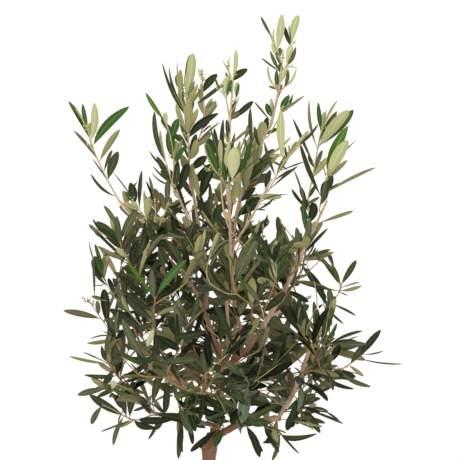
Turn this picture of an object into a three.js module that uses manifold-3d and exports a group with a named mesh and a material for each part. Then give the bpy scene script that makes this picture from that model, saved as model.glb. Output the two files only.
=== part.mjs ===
import * as THREE from 'three';
import { mergeVertices } from 'three/addons/utils/BufferGeometryUtils.js';
import Module from 'manifold-3d';

// A young olive tree in a plain clay pot, in millimetres, +Z up.
// The origin is the centre of the pot's flat underside. -Y is the front of the crown and +X its right.

// Pot
const POT_HEIGHT = 170;
const POT_TOP_RADIUS = 97;
const POT_FOOT_RADIUS = 67;
const POT_WALL = 9;
const POT_FLOOR = 12;
const RIM_HEIGHT = 36;
const RIM_PROUD = 6;
const RIM_SLOPE = 4;
const EDGE_ROUND = 3;
const EDGE_BREAK = 2;
const POT_SIDES = 32;
const DRAIN_HOLES = 3;
const DRAIN_RADIUS = 4.5;
const DRAIN_SIDES = 10;
const DRAIN_RING = 34;
const DRAIN_TURN = 0.5;

// Soil
const SOIL_TOP = 152;
const SOIL_EDGE_DROP = 3;
const SOIL_EDGE_WIDTH = 12;

// Trunk, from the flat cut on the soil to its first fork
const FORK_HEIGHT = 408;
const FORK_SHIFT = 6;
const TRUNK_BEND = 4;
const TRUNK_BEND_HEIGHT = 247;
const TRUNK_FOOT_RADIUS = 9.2;
const TRUNK_NECK_RADIUS = 7.4;
const FLARE = 6.5;
const FLARE_REACH = 13;
const FLARE_RIDGES = 5;
const FLARE_RIDGE_DEPTH = 0.16;
const KNUCKLE = 2.7;
const KNUCKLE_HEIGHT = 387;
const KNUCKLE_REACH = 11;
const TRUNK_START_DEPTH = 6;
const TRUNK_SIDES = 12;
const TRUNK_STEPS = 14;

// Limbs and foliage
const LIMB_SIDES = 6;
const LIMB_STEP = 28;
const MASS_SIDES = 11;
const MASS_RINGS = 7;
const BLUNTNESS = 2.5;
const COARSE_LUMP = 0.13;
const FINE_LUMP = 0.065;
const TOUCH_GAP = 0.35;
const MASS_GAP = 0.6;
const SMALLEST_DETAIL = 0.25;

const CLAY = { color: 0xb7684a, roughness: 0.85, metalness: 0 };
const SOIL = { color: 0x3d2c22, roughness: 0.95, metalness: 0 };
const BARK = { color: 0x8f7057, roughness: 0.75, metalness: 0 };
const LEAVES = { color: 0x5f7650, roughness: 0.6, metalness: 0 };

// Each limb runs through a few places, from inside the limb that carries it to inside the mass that
// it feeds. The two radii are at its start and its end.
const LIMBS = {
  main_stem: {
    through: [[5, 0, 404], [14, 0, 424], [15, 1, 460], [12, 1, 480], [23, 0, 502]],
    radii: [6.4, 4.8],
  },
  right_bough: {
    through: [[7, 0, 401], [38, -4, 420], [66, -8, 423], [92, -10, 429]],
    radii: [6.2, 5.2],
  },
  right_riser: {
    through: [[90, -10, 424], [115, -12, 464], [127, -12, 498], [136, -11, 524]],
    radii: [3.5, 2.4],
  },
  right_branch: {
    through: [[22, 0, 499], [50, 1, 518], [67, 3, 542], [99, 7, 594], [133, 10, 664]],
    radii: [4.4, 2.6],
  },
  left_leader: {
    through: [[22, 0, 498], [-5, 10, 571], [-1, 16, 611], [-7, 22, 650], [-26, 38, 752]],
    radii: [3.7, 1.9],
  },
  centre_leader: {
    through: [[54, 1, 524], [37, -6, 566], [31, -14, 620], [28, -20, 706]],
    radii: [3.2, 2.1],
  },
  left_stem: {
    through: [[20, 0, 502], [5, -3, 542], [-26, -8, 616]],
    radii: [3, 2.2],
  },
  top_leader: {
    through: [[31, -13, 640], [39, 4, 715], [66, 17, 783], [76, 16, 812]],
    radii: [2.4, 1.7],
  },
  inner_right_limb: {
    through: [[30, -15, 655], [55, -46, 695], [84, -82, 750]],
    radii: [2, 1.5],
  },
  upper_right_limb: {
    through: [[131, 10, 658], [137, 26, 685], [136, 46, 724]],
    radii: [2.2, 1.6],
  },
  outer_right_limb: {
    through: [[131, 10, 656], [144, -20, 690], [158, -42, 722]],
    radii: [2.1, 1.5],
  },
  outer_left_limb: {
    through: [[-24, -7, 606], [-62, -16, 676], [-108, -24, 704], [-122, -27, 724]],
    radii: [2.2, 1.6],
  },
  left_shoot_limb: {
    through: [[-6, 21, 645], [-30, 8, 700], [-48, -3, 745]],
    radii: [2, 1.5],
  },
  upper_back_limb: {
    through: [[34, -3, 690], [38, 40, 700], [44, 76, 716]],
    radii: [2, 1.5],
  },
  left_middle_bough: {
    through: [[14, 0, 456], [-29, -6, 470], [-84, -13, 503]],
    radii: [3, 2],
  },
  left_low_bough: {
    through: [[11, 0, 418], [-35, 2, 426], [-84, 10, 436]],
    radii: [3, 2],
  },
  right_middle_bough: {
    through: [[84, 5, 565], [104, 12, 574], [140, 20, 592]],
    radii: [2.6, 2],
  },
  front_bough: {
    through: [[23, 0, 500], [26, -42, 528], [24, -88, 590]],
    radii: [3.2, 2.2],
  },
  front_low_bough: {
    through: [[15, 0, 446], [16, -36, 454], [22, -84, 486]],
    radii: [3.2, 2.2],
  },
  front_left_bough: {
    through: [[15, 0, 440], [-10, -34, 456], [-48, -86, 492]],
    radii: [2.6, 1.9],
  },
  front_right_bough: {
    through: [[112, -12, 458], [113, -40, 462], [116, -78, 488]],
    radii: [2.4, 1.8],
  },
  front_upper_bough: {
    through: [[92, 6, 580], [99, -34, 590], [106, -86, 622]],
    radii: [2.3, 1.7],
  },
  back_bough: {
    through: [[23, 0, 499], [34, 44, 540], [52, 92, 612]],
    radii: [3.2, 2.2],
  },
  back_low_bough: {
    through: [[15, 1, 452], [17, 40, 466], [22, 86, 500]],
    radii: [3.2, 2.2],
  },
  back_left_bough: {
    through: [[14, 1, 464], [-14, 36, 478], [-50, 86, 506]],
    radii: [2.6, 1.9],
  },
  back_right_bough: {
    through: [[114, -12, 462], [108, 30, 474], [108, 78, 504]],
    radii: [2.4, 1.8],
  },
  back_upper_bough: {
    through: [[-4, 10, 574], [-20, 44, 596], [-46, 82, 630]],
    radii: [2.4, 1.8],
  },
};

// Each mass of foliage lies along an axis from its foot to its tip. Seen from the front, half its
// width is wide and half its depth is deep; on a mass that points to the front or the back, deep is
// half its height. Fan makes it wider towards its tip, and bow bends its axis at the middle.
const MASSES = {
  foliage_top: {
    foot: [74, 17, 786], tip: [103, 8, 974], bow: [4, 0, 0],
    wide: 22, deep: 24, fan: 0.2,
  },
  foliage_top_centre: {
    foot: [27, -40, 790], tip: [36, -50, 920], bow: [-2, 0, 0],
    wide: 16, deep: 20, fan: 0.2,
  },
  foliage_top_left: {
    foot: [-26, 40, 738], tip: [-22, 54, 921], bow: [-4, 0, 0],
    wide: 32, deep: 31, fan: 0.25,
  },
  foliage_left_shoot: {
    foot: [-48, -2, 726], tip: [-80, -8, 868], bow: [-4, 0, 0],
    wide: 20, deep: 26, fan: 0.1,
  },
  foliage_outer_left: {
    foot: [-108, -24, 700], tip: [-166, -36, 858], bow: [4, 0, 0],
    wide: 31, deep: 32, fan: 0.35,
  },
  foliage_top_right: {
    foot: [133, 40, 706], tip: [172, 58, 864], bow: [-4, 0, 0],
    wide: 29, deep: 29, fan: 0.25,
  },
  foliage_outer_right: {
    foot: [148, -36, 706], tip: [220, -64, 770], bow: [-9, 0, 20],
    wide: 21, deep: 27, fan: 0.1,
  },
  foliage_inner_right: {
    foot: [80, -76, 732], tip: [140, -100, 836], bow: [0, 0, 0],
    wide: 26, deep: 28, fan: 0.1,
  },
  foliage_centre_upper: {
    foot: [22, -16, 680], tip: [10, -40, 806], bow: [0, 0, 0],
    wide: 32, deep: 32, fan: 0.1,
  },
  foliage_upper_back: {
    foot: [42, 66, 694], tip: [42, 108, 822], bow: [0, 8, 0],
    wide: 34, deep: 34, fan: 0.15,
  },
  foliage_leader: {
    foot: [46, 8, 716], tip: [76, 22, 806], bow: [0, 0, 0],
    wide: 24, deep: 28, fan: 0,
  },
  foliage_left_upper: {
    foot: [-28, -8, 592], tip: [-160, -14, 686], bow: [0, 0, 0],
    wide: 46, deep: 48, fan: 0.1,
  },
  foliage_left_back: {
    foot: [-28, 60, 588], tip: [-92, 128, 730], bow: [-8, 0, 0],
    wide: 46, deep: 46, fan: 0.1,
  },
  foliage_centre_front: {
    foot: [26, -58, 550], tip: [10, -150, 694], bow: [0, -12, 0],
    wide: 54, deep: 50, fan: 0.15,
  },
  foliage_centre_back: {
    foot: [46, 66, 572], tip: [76, 162, 706], bow: [0, 12, 0],
    wide: 54, deep: 50, fan: 0.15,
  },
  foliage_right_middle: {
    foot: [116, 18, 566], tip: [194, 24, 662], bow: [4, 0, 0],
    wide: 36, deep: 46, fan: 0.1,
  },
  foliage_right_front: {
    foot: [98, -64, 586], tip: [142, -138, 692], bow: [0, -6, 0],
    wide: 42, deep: 44, fan: 0.1,
  },
  foliage_left_middle: {
    foot: [-44, -10, 504], tip: [-197, -18, 564], bow: [0, 0, 4],
    wide: 42, deep: 48, fan: 0,
  },
  foliage_left_low: {
    foot: [-48, 8, 440], tip: [-178, 18, 440], bow: [0, 0, -4],
    wide: 36, deep: 44, fan: 0.1,
  },
  foliage_left_bottom: {
    foot: [-26, 0, 430], tip: [-50, -22, 373], bow: [0, 0, 0],
    wide: 24, deep: 26, fan: 0.1,
  },
  foliage_right_low: {
    foot: [124, -8, 508], tip: [260, -4, 502], bow: [0, 0, 4],
    wide: 42, deep: 44, fan: -0.1,
  },
  foliage_right_bottom: {
    foot: [106, -12, 458], tip: [204, -22, 428], bow: [0, 0, 0],
    wide: 28, deep: 38, fan: 0,
  },
  foliage_right_hanging: {
    foot: [86, -10, 428], tip: [90, -32, 373], bow: [0, 0, 0],
    wide: 32, deep: 26, fan: 0.1,
  },
  foliage_front_left: {
    foot: [-28, -62, 486], tip: [-92, -160, 500], bow: [0, 0, 0],
    wide: 46, deep: 52, fan: 0.1,
  },
  foliage_front_low: {
    foot: [20, -58, 466], tip: [30, -196, 480], bow: [0, 0, 6],
    wide: 54, deep: 54, fan: 0.1,
  },
  foliage_front_right: {
    foot: [110, -54, 484], tip: [156, -150, 512], bow: [0, 0, 0],
    wide: 46, deep: 50, fan: 0.1,
  },
  foliage_back_left: {
    foot: [-30, 64, 500], tip: [-112, 156, 516], bow: [0, 0, 0],
    wide: 48, deep: 54, fan: 0.1,
  },
  foliage_back_low: {
    foot: [18, 60, 488], tip: [34, 198, 510], bow: [0, 0, 6],
    wide: 54, deep: 54, fan: 0.1,
  },
  foliage_back_right: {
    foot: [102, 52, 496], tip: [168, 152, 520], bow: [0, 0, 0],
    wide: 48, deep: 52, fan: 0.1,
  },
};

const UP = new THREE.Vector3(0, 0, 1);
const BACKWARD = new THREE.Vector3(0, 1, 0);

const wasm = await Module();
wasm.setup();

function toSolid(geometry) {
  geometry.deleteAttribute('normal');
  geometry.deleteAttribute('uv');
  const merged = mergeVertices(geometry, 1e-3);
  const vertProperties = Float32Array.from(merged.attributes.position.array);
  const triVerts = Uint32Array.from(merged.index.array);
  return new wasm.Manifold(new wasm.Mesh({ numProp: 3, vertProperties, triVerts }));
}

function toGeometry(solid) {
  const { vertProperties, triVerts } = solid.getMesh();
  const geometry = new THREE.BufferGeometry();
  geometry.setAttribute('position', new THREE.BufferAttribute(vertProperties, 3));
  geometry.setIndex(new THREE.BufferAttribute(triVerts, 1));
  return geometry;
}

function largestBody(solid) {
  const bodies = solid.decompose();
  return bodies.reduce((best, body) => (body.volume() > best.volume() ? body : best));
}

// Moves every vertex of a unit shape, whose own axis is y, to its place along a curve.
// place(x, t, z) gives the offsets to the side and in depth for a vertex at t along the curve.
function bendAlong(geometry, curve, yToT, place) {
  const chord = curve.getPoint(1).sub(curve.getPoint(0)).normalize();
  const reference = Math.abs(chord.y) > 0.6 ? UP : BACKWARD;
  const positions = geometry.attributes.position;
  const vertex = new THREE.Vector3();
  for (let i = 0; i < positions.count; i += 1) {
    vertex.fromBufferAttribute(positions, i);
    const t = yToT(vertex.y);
    const tangent = curve.getTangent(t);
    const side = tangent.clone().cross(reference).normalize();
    const depth = side.clone().cross(tangent).normalize();
    const [alongSide, alongDepth] = place(vertex.x, t, vertex.z);
    const moved = curve.getPoint(t);
    moved.addScaledVector(side, alongSide);
    moved.addScaledVector(depth, alongDepth);
    positions.setXYZ(i, moved.x, moved.y, moved.z);
  }
  return geometry;
}

function taperedTube(curve, sides, steps, radiusAt) {
  const cylinder = new THREE.CylinderGeometry(1, 1, 1, sides, steps);
  const place = (x, t, z) => {
    const radius = radiusAt(t, Math.atan2(z, x));
    return [x * radius, z * radius];
  };
  return toSolid(bendAlong(cylinder, curve, (y) => y + 0.5, place));
}

// A trunk with a flat foot on the soil, a flare of low ridges there, and a knuckle under the fork
function trunkSolid(grow) {
  const curve = new THREE.CatmullRomCurve3([
    new THREE.Vector3(0, 0, SOIL_TOP - TRUNK_START_DEPTH),
    new THREE.Vector3(-TRUNK_BEND, -TRUNK_BEND / 2, TRUNK_BEND_HEIGHT),
    new THREE.Vector3(0, 0, KNUCKLE_HEIGHT - KNUCKLE_REACH),
    new THREE.Vector3(FORK_SHIFT / 4, 0, KNUCKLE_HEIGHT + KNUCKLE_REACH / 2),
    new THREE.Vector3(FORK_SHIFT, 0, FORK_HEIGHT),
  ]);
  const radiusAt = (t, angle) => {
    const height = curve.getPoint(t).z;
    const above = Math.max(height - SOIL_TOP, 0);
    const share = above / (FORK_HEIGHT - SOIL_TOP);
    const flare = FLARE * Math.exp(-above / FLARE_REACH);
    const ridges = 1 + (FLARE_RIDGE_DEPTH * Math.cos(FLARE_RIDGES * angle) * flare) / FLARE;
    const knuckle = KNUCKLE * Math.exp(-(((height - KNUCKLE_HEIGHT) / KNUCKLE_REACH) ** 2));
    const plain = THREE.MathUtils.lerp(TRUNK_FOOT_RADIUS, TRUNK_NECK_RADIUS, share);
    return (plain + flare) * ridges + knuckle + grow;
  };
  return taperedTube(curve, TRUNK_SIDES, TRUNK_STEPS, radiusAt).trimByPlane([0, 0, 1], SOIL_TOP);
}

function limbSolid({ through, radii }, grow) {
  const curve = new THREE.CatmullRomCurve3(through.map((place) => new THREE.Vector3(...place)));
  const steps = Math.max(3, Math.round(curve.getLength() / LIMB_STEP));
  const radiusAt = (t) => THREE.MathUtils.lerp(radii[0], radii[1], t) + grow;
  return taperedTube(curve, LIMB_SIDES, steps, radiusAt);
}

// An uneven egg: its radius swells and shrinks round its axis and along it
function massSolid({ foot, tip, wide, deep, fan, bow }, turn, grow) {
  const start = new THREE.Vector3(...foot);
  const end = new THREE.Vector3(...tip);
  const chord = end.clone().sub(start).normalize();
  start.addScaledVector(chord, -grow);
  end.addScaledVector(chord, grow);
  const control = start.clone().lerp(end, 0.5).addScaledVector(new THREE.Vector3(...bow), 2);
  const curve = new THREE.QuadraticBezierCurve3(start, control, end);
  const place = (x, t, z) => {
    const angle = Math.atan2(z, x);
    const along = 2 * t - 1;
    const coarse = Math.sin(3 * angle + turn) * Math.cos(2.6 * along + turn);
    const fine = Math.sin(5 * angle - 2 * turn) * Math.sin(4 * along + turn);
    const roundEnd = Math.max(1 - along ** 2, 1e-9) ** 0.5;
    const bluntEnd = (1 - Math.min(Math.abs(along), 1) ** BLUNTNESS) ** (1 / BLUNTNESS);
    const lumps = COARSE_LUMP * coarse + FINE_LUMP * fine;
    const swell = ((1 + fan * along + lumps) * bluntEnd) / roundEnd;
    return [x * (wide * swell + grow), z * (deep * swell + grow)];
  };
  const sphere = new THREE.SphereGeometry(1, MASS_SIDES, MASS_RINGS);
  return toSolid(bendAlong(sphere, curve, (y) => (y + 1) / 2, place));
}

function potInnerRadius(height) {
  const share = (height - POT_FLOOR) / (POT_HEIGHT - POT_FLOOR);
  const footInside = POT_FOOT_RADIUS - POT_WALL;
  const topInside = POT_TOP_RADIUS - POT_WALL;
  return THREE.MathUtils.lerp(footInside, topInside, share);
}

function lathe(profile) {
  const geometry = new THREE.LatheGeometry(profile, POT_SIDES);
  geometry.rotateX(Math.PI / 2);
  return toSolid(geometry);
}

function potSolid() {
  const rimFoot = POT_HEIGHT - RIM_HEIGHT;
  const wallTop = POT_TOP_RADIUS - RIM_SLOPE - RIM_PROUD;
  const inside = potInnerRadius(POT_HEIGHT);
  const outline = new THREE.Path();
  outline.moveTo(0, 0);
  outline.lineTo(POT_FOOT_RADIUS - EDGE_BREAK, 0);
  outline.lineTo(POT_FOOT_RADIUS, EDGE_BREAK);
  outline.lineTo(wallTop, rimFoot);
  outline.lineTo(wallTop + RIM_PROUD, rimFoot + EDGE_BREAK);
  outline.lineTo(POT_TOP_RADIUS, POT_HEIGHT - EDGE_ROUND);
  outline.absarc(POT_TOP_RADIUS - EDGE_ROUND, POT_HEIGHT - EDGE_ROUND, EDGE_ROUND, 0, Math.PI / 2, false);
  outline.lineTo(inside + EDGE_BREAK, POT_HEIGHT);
  outline.lineTo(inside, POT_HEIGHT - EDGE_BREAK);
  outline.lineTo(potInnerRadius(POT_FLOOR), POT_FLOOR);
  outline.lineTo(0, POT_FLOOR);
  let pot = lathe(outline.getPoints(3));
  for (let i = 0; i < DRAIN_HOLES; i += 1) {
    const angle = (2 * Math.PI * i) / DRAIN_HOLES + DRAIN_TURN;
    const drill = new THREE.CylinderGeometry(DRAIN_RADIUS, DRAIN_RADIUS, 3 * POT_FLOOR, DRAIN_SIDES);
    drill.rotateX(Math.PI / 2);
    drill.translate(DRAIN_RING * Math.cos(angle), DRAIN_RING * Math.sin(angle), POT_FLOOR / 2);
    pot = pot.subtract(toSolid(drill));
  }
  return pot;
}

function soilSolid() {
  const bottom = POT_FLOOR + TOUCH_GAP;
  const edgeTop = SOIL_TOP - SOIL_EDGE_DROP;
  return lathe([
    new THREE.Vector2(0, bottom),
    new THREE.Vector2(potInnerRadius(bottom) - 2 * TOUCH_GAP, bottom),
    new THREE.Vector2(potInnerRadius(edgeTop) - 2 * TOUCH_GAP, edgeTop),
    new THREE.Vector2(potInnerRadius(edgeTop) - SOIL_EDGE_WIDTH, SOIL_TOP),
    new THREE.Vector2(0, SOIL_TOP),
  ]);
}

const tree = new THREE.Group();

function addPart(name, solid, look) {
  const mesh = new THREE.Mesh(toGeometry(solid), new THREE.MeshStandardMaterial(look));
  mesh.name = name;
  tree.add(mesh);
}

// Each limb and mass is cut back where it meets what stands before it, with a small gap all round
function cutBack(solid, cutters) {
  const cut = cutters.reduce((left, cutter) => left.subtract(cutter), solid);
  return largestBody(cut.simplify(SMALLEST_DETAIL));
}

addPart('pot', potSolid(), CLAY);
addPart('soil', soilSolid(), SOIL);
addPart('trunk', trunkSolid(0), BARK);

const woodCutters = [trunkSolid(TOUCH_GAP)];
for (const [name, limb] of Object.entries(LIMBS)) {
  addPart(name, cutBack(limbSolid(limb, 0), woodCutters), BARK);
  woodCutters.push(limbSolid(limb, TOUCH_GAP));
}

const massCutters = [];
Object.entries(MASSES).forEach(([name, mass], index) => {
  addPart(name, cutBack(massSolid(mass, index, 0), [...woodCutters, ...massCutters]), LEAVES);
  massCutters.push(massSolid(mass, index, MASS_GAP));
});

export default tree;
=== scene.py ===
"""A young potted olive tree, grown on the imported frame: bark, twigs, leaves, flower buds, soil and pot."""
import math

import bmesh
import bpy
import numpy as np
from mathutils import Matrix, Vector, kdtree, noise
from mathutils.bvhtree import BVHTree


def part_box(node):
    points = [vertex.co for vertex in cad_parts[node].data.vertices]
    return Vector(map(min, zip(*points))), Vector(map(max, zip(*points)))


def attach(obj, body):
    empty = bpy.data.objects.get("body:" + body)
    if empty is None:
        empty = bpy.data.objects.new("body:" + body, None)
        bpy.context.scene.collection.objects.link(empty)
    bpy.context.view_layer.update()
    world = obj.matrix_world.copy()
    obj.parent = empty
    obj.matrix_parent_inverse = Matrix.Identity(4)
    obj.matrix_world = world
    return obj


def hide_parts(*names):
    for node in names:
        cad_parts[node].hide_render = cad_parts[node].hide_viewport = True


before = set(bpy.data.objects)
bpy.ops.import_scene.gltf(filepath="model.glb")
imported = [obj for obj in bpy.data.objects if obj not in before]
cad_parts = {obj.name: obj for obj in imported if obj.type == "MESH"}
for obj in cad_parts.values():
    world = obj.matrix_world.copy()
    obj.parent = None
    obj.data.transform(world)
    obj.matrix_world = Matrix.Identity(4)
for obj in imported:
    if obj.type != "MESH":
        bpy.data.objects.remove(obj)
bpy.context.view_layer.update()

MM = 0.001
UP = np.array([0.0, 0.0, 1.0])
SEED = 2411
SPOTS_SEED = 31
BODY = "root"

# The view: at crown level, 2.6 m in front of the trunk, a frame 621 mm wide at the trunk
VIEW_CENTRE = np.array([28.35, 0.0, 681.5]) * MM
VIEW_DISTANCE = 2600 * MM
VIEW_WIDTH = 621 * MM
SENSOR_WIDTH = 36.0
EYE = VIEW_CENTRE - np.array([0, VIEW_DISTANCE, 0])
TO_EYE = np.array([0, -1.0, 0])
PHOTO_PIXELS = 460
PIXEL = VIEW_WIDTH / PHOTO_PIXELS
MIDDLE_PIXEL = PHOTO_PIXELS / 2

# Real sizes in millimetres
POT_HEIGHT, POT_TOP_RADIUS, POT_FOOT_RADIUS = 170.0, 97.0, 67.0
POT_WALL, POT_FLOOR = 9.0, 12.0
RIM_HEIGHT, RIM_PROUD, RIM_SLOPE = 36.0, 6.0, 4.0
DRAIN_RADIUS, DRAIN_RING, DRAIN_HOLES = 4.5, 34.0, 3
SOIL_TOP = 152.0
FLOOR_RADIUS = 3000.0

# Vectors and colours


def unit(vector):
    """The vector at length one."""
    return vector / max(np.linalg.norm(vector), 1e-12)


def square_to(vector, direction):
    """The part of a vector that is square to a direction, at length one."""
    return unit(vector - direction * (vector @ direction))


def turned(vector, axis, angle):
    """The vector turned round an axis of length one."""
    return (
        vector * math.cos(angle)
        + np.cross(axis, vector) * math.sin(angle)
        + axis * (axis @ vector) * (1 - math.cos(angle))
    )


OFF_AXIS = (0.31, 0.95, 0.05)  # a direction that no shoot takes


def spoke(along, turn):
    """A unit vector square to a shoot's direction, turned round it."""
    return turned(unit(np.cross(along, OFF_AXIS)), along, turn)


def round_angles(count):
    """Angles spread evenly round a circle."""
    return np.arange(count) * 2 * math.pi / count


def blend(low, high, share):
    """The value between low and high."""
    return low + (high - low) * share


def drawn(draw, ranges, share):
    """A random value from the first range at share 0, and from the second at share 1."""
    first, second = ranges
    return blend(draw.uniform(*first), draw.uniform(*second), share)


def ease(value, low, high):
    """0 below low, 1 above high, and a smooth step between them."""
    share = np.clip((value - low) / (high - low), 0, 1)
    return share * share * (3 - 2 * share)


def bell(value, width):
    """1 at zero, falling smoothly to 0 over the width on both sides."""
    return np.exp(-((value / width) ** 2))


def linear(red, green, blue):
    """A display colour of three numbers up to 255, as a linear colour."""
    parts = np.array([red, green, blue]) / 255
    return tuple(np.where(parts <= 0.04045, parts / 12.92, ((parts + 0.055) / 1.055) ** 2.4)) + (1.0,)


# Meshes


def values_of(items, key, width, kind=float):
    """A property of a mesh's points or edges, one row for each."""
    values = np.empty(len(items) * width, kind)
    items.foreach_get(key, values)
    return values.reshape(-1, width)


def note(mesh, label, values):
    """Keeps a value at each of a mesh's points, for its material."""
    layer = mesh.attributes.new(label, "FLOAT", "POINT")
    layer.data.foreach_set("value", values.astype(np.float32))


def with_modifiers(piece):
    """A new mesh: the piece's own with its modifiers applied."""
    graph = bpy.context.evaluated_depsgraph_get()
    return bpy.data.meshes.new_from_object(piece.evaluated_get(graph))


def in_scene(name, data):
    """A new object in the scene."""
    piece = bpy.data.objects.new(name, data)
    bpy.context.scene.collection.objects.link(piece)
    return piece


def mesh_object(name, points, faces, slots=None, sharp=None):
    """A smooth mesh object from arrays of points and triangles. An edge between two sharp points is sharp."""
    mesh = bpy.data.meshes.new(name)
    mesh.vertices.add(len(points))
    mesh.vertices.foreach_set("co", np.asarray(points, np.float32).ravel())
    mesh.loops.add(faces.size)
    mesh.loops.foreach_set("vertex_index", np.asarray(faces, np.int32).ravel())
    mesh.polygons.add(len(faces))
    mesh.polygons.foreach_set("loop_start", np.arange(0, faces.size, 3, dtype=np.int32))
    mesh.polygons.foreach_set("use_smooth", np.ones(len(faces), bool))
    if slots is not None:
        mesh.polygons.foreach_set("material_index", np.asarray(slots, np.int32))
    mesh.update(calc_edges=True)
    if sharp is not None:
        ends = values_of(mesh.edges, "vertices", 2, np.int32)
        mesh.edges.foreach_set("use_edge_sharp", sharp[ends[:, 0]] & sharp[ends[:, 1]])
    return in_scene(name, mesh)


def settle(piece, nodes=()):
    """Ties a piece to the plant, and hides the nodes that it stands for."""
    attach(piece, BODY)
    if nodes:
        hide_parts(*nodes)
    return piece


class Pile:
    """Many small closed shapes that become one mesh."""

    def __init__(self):
        self.points, self.faces, self.slots = [], [], []
        self.count = 0

    def add(self, points, faces, slots=0):
        """Adds one shape: its points, its triangles and each triangle's material slot."""
        self.points.append(points)
        self.faces.append(faces + self.count)
        self.slots.append(np.broadcast_to(slots, len(faces)))
        self.count += len(points)

    def mesh(self, name, sharp=None):
        """An object of all the shapes."""
        points, faces, slots = (np.concatenate(part) for part in (self.points, self.faces, self.slots))
        sharp = None if sharp is None else np.resize(sharp, self.count)
        return mesh_object(name, points, faces, slots, sharp)

    def build(self, name, materials, nodes=(), sharp=None):
        """Makes the object, which rides with the plant and stands for the nodes."""
        piece = self.mesh(name, sharp)
        for material in materials:
            piece.data.materials.append(material)
        return settle(piece, nodes)


def band_faces(rings, sides):
    """The triangles of a closed tube of rings, with both ends shut."""
    ring = np.arange(rings - 1)[:, None] * sides
    side = np.arange(sides)[None, :]
    a, b = ring + side, ring + (side + 1) % sides
    c, d = b + sides, a + sides
    walls = np.stack([np.stack([a, b, c], -1), np.stack([a, c, d], -1)], 2).reshape(-1, 3)
    fan = np.arange(1, sides - 1)
    foot = np.stack([np.zeros_like(fan), fan + 1, fan], -1)
    tip = np.stack([np.zeros_like(fan), fan, fan + 1], -1) + (rings - 1) * sides
    return np.concatenate([walls, foot, tip])


def tangents(path):
    """The unit directions along a path."""
    steps = np.gradient(path, axis=0)
    return steps / np.maximum(np.linalg.norm(steps, axis=1, keepdims=True), 1e-12)


def travelled(path):
    """The distance along a path at each of its points."""
    return np.concatenate([[0], np.cumsum(np.linalg.norm(np.diff(path, axis=0), axis=1))])


STEEP = 0.9  # the upward part of a unit direction, above which a tube's first side comes from the view


def tube(path, radii, sides):
    """The points and triangles of a tube along a path, with a radius for each ring or each point."""
    along = tangents(path)
    start = np.cross(along[0], UP if abs(along[0] @ UP) < STEEP else -TO_EYE)
    first = [unit(start)]
    for direction in along[1:]:
        first.append(square_to(first[-1], direction))
    first = np.array(first)
    second = np.cross(along, first)
    angles = round_angles(sides)
    ring = (
        first[:, None, :] * np.cos(angles)[None, :, None]
        + second[:, None, :] * np.sin(angles)[None, :, None]
    )
    radii = np.asarray(radii)
    wide = radii[:, None, None] if radii.ndim == 1 else radii[:, :, None]
    points = path[:, None, :] + ring * wide
    return points.reshape(-1, 3), band_faces(len(path), sides)


def smooth_path(points, step, passes=6):
    """An even path through the points, with its corners rounded."""
    points = np.asarray(points, float)
    reach = travelled(points)
    marks = np.linspace(0, reach[-1], max(3, int(reach[-1] / step) + 1))
    path = np.stack([np.interp(marks, reach, points[:, axis]) for axis in range(3)], 1)
    for _ in range(passes):
        path[1:-1] = path[1:-1] / 2 + (path[:-2] + path[2:]) / 4
    return path


def nearest_on(path, point):
    """The distance and index of a path's point that is nearest to a point."""
    gaps = np.linalg.norm(path - point, axis=1)
    return gaps.min(), int(gaps.argmin())


LOOK_STEP = 2 * MM


def place_on(path, reach, distance):
    """The point and direction at a distance along a path."""
    point, ahead, back = (
        np.array([np.interp(distance + step, reach, path[:, axis]) for axis in range(3)])
        for step in (0, LOOK_STEP, -LOOK_STEP)
    )
    return point, unit(ahead - back)


# The frame's wood and masses

SLICE_STEP = 7 * MM
SLICE_MARGIN = 1.5 * MM
FACET_SHARE = 1.07  # a corner of a six-sided slice over its mean radius


def node_arrays(name):
    """A node's points and edges."""
    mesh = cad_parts[name].data
    return values_of(mesh.vertices, "co", 3), values_of(mesh.edges, "vertices", 2, np.int32)


def run_of(points, edges, axis):
    """The middles and radii of slices square to an axis, from the foot to the tip."""
    reach = points @ axis
    low, high = reach.min() + SLICE_MARGIN, reach.max() - SLICE_MARGIN
    first, second = reach[edges[:, 0]], reach[edges[:, 1]]
    slices = []
    for height in np.linspace(low, high, max(3, int((high - low) / SLICE_STEP))):
        cut = (first - height) * (second - height) < 0
        share = ((height - first) / (second - first + 1e-15))[cut, None]
        slices.append(blend(points[edges[cut, 0]], points[edges[cut, 1]], share))
    middles = np.array([part.mean(0) for part in slices])
    radii = []
    for part, middle, direction in zip(slices, middles, tangents(middles)):
        spokes = part - middle
        spokes = spokes - np.outer(spokes @ direction, direction)
        radii.append(np.linalg.norm(spokes, axis=1).mean() * FACET_SHARE)
    return middles, np.array(radii)


def long_axis(points):
    """The direction in which the points spread furthest, and how much further than across it."""
    values, vectors = np.linalg.eigh(np.cov((points - points.mean(0)).T))
    return vectors[:, 2], math.sqrt(values[2] / values[1])


def read_wood():
    """The trunk's and limbs' paths and radii. Each limb starts on the wood that carries it."""
    waiting = {}
    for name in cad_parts:
        if name not in ("trunk", "pot", "soil") and not name.startswith("foliage_"):
            points, edges = node_arrays(name)
            waiting[name] = run_of(points, edges, long_axis(points)[0])
    wood = {"trunk": run_of(*node_arrays("trunk"), UP)}
    while waiting:
        ways = (
            (*nearest_on(other, path[end]), name, end, carrier)
            for name, (path, _) in waiting.items()
            for end in (0, -1)
            for carrier, (other, _) in wood.items()
        )
        _, place, name, end, carrier = min(ways, key=lambda way: way[0])
        path, radii = waiting.pop(name)
        if end == -1:
            path, radii = path[::-1], radii[::-1]
        root = wood[carrier][0][place]
        wood[name] = np.concatenate([[root], path]), np.concatenate([radii[:1], radii])
    return wood


WOOD = read_wood()
HEART = WOOD["main_stem"][0][-1]  # the upper fork
MASSES = sorted(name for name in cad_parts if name.startswith("foliage_"))
STRETCHED = (1.1, 1.5)  # a mass more stretched than this is sliced along its length


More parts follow.
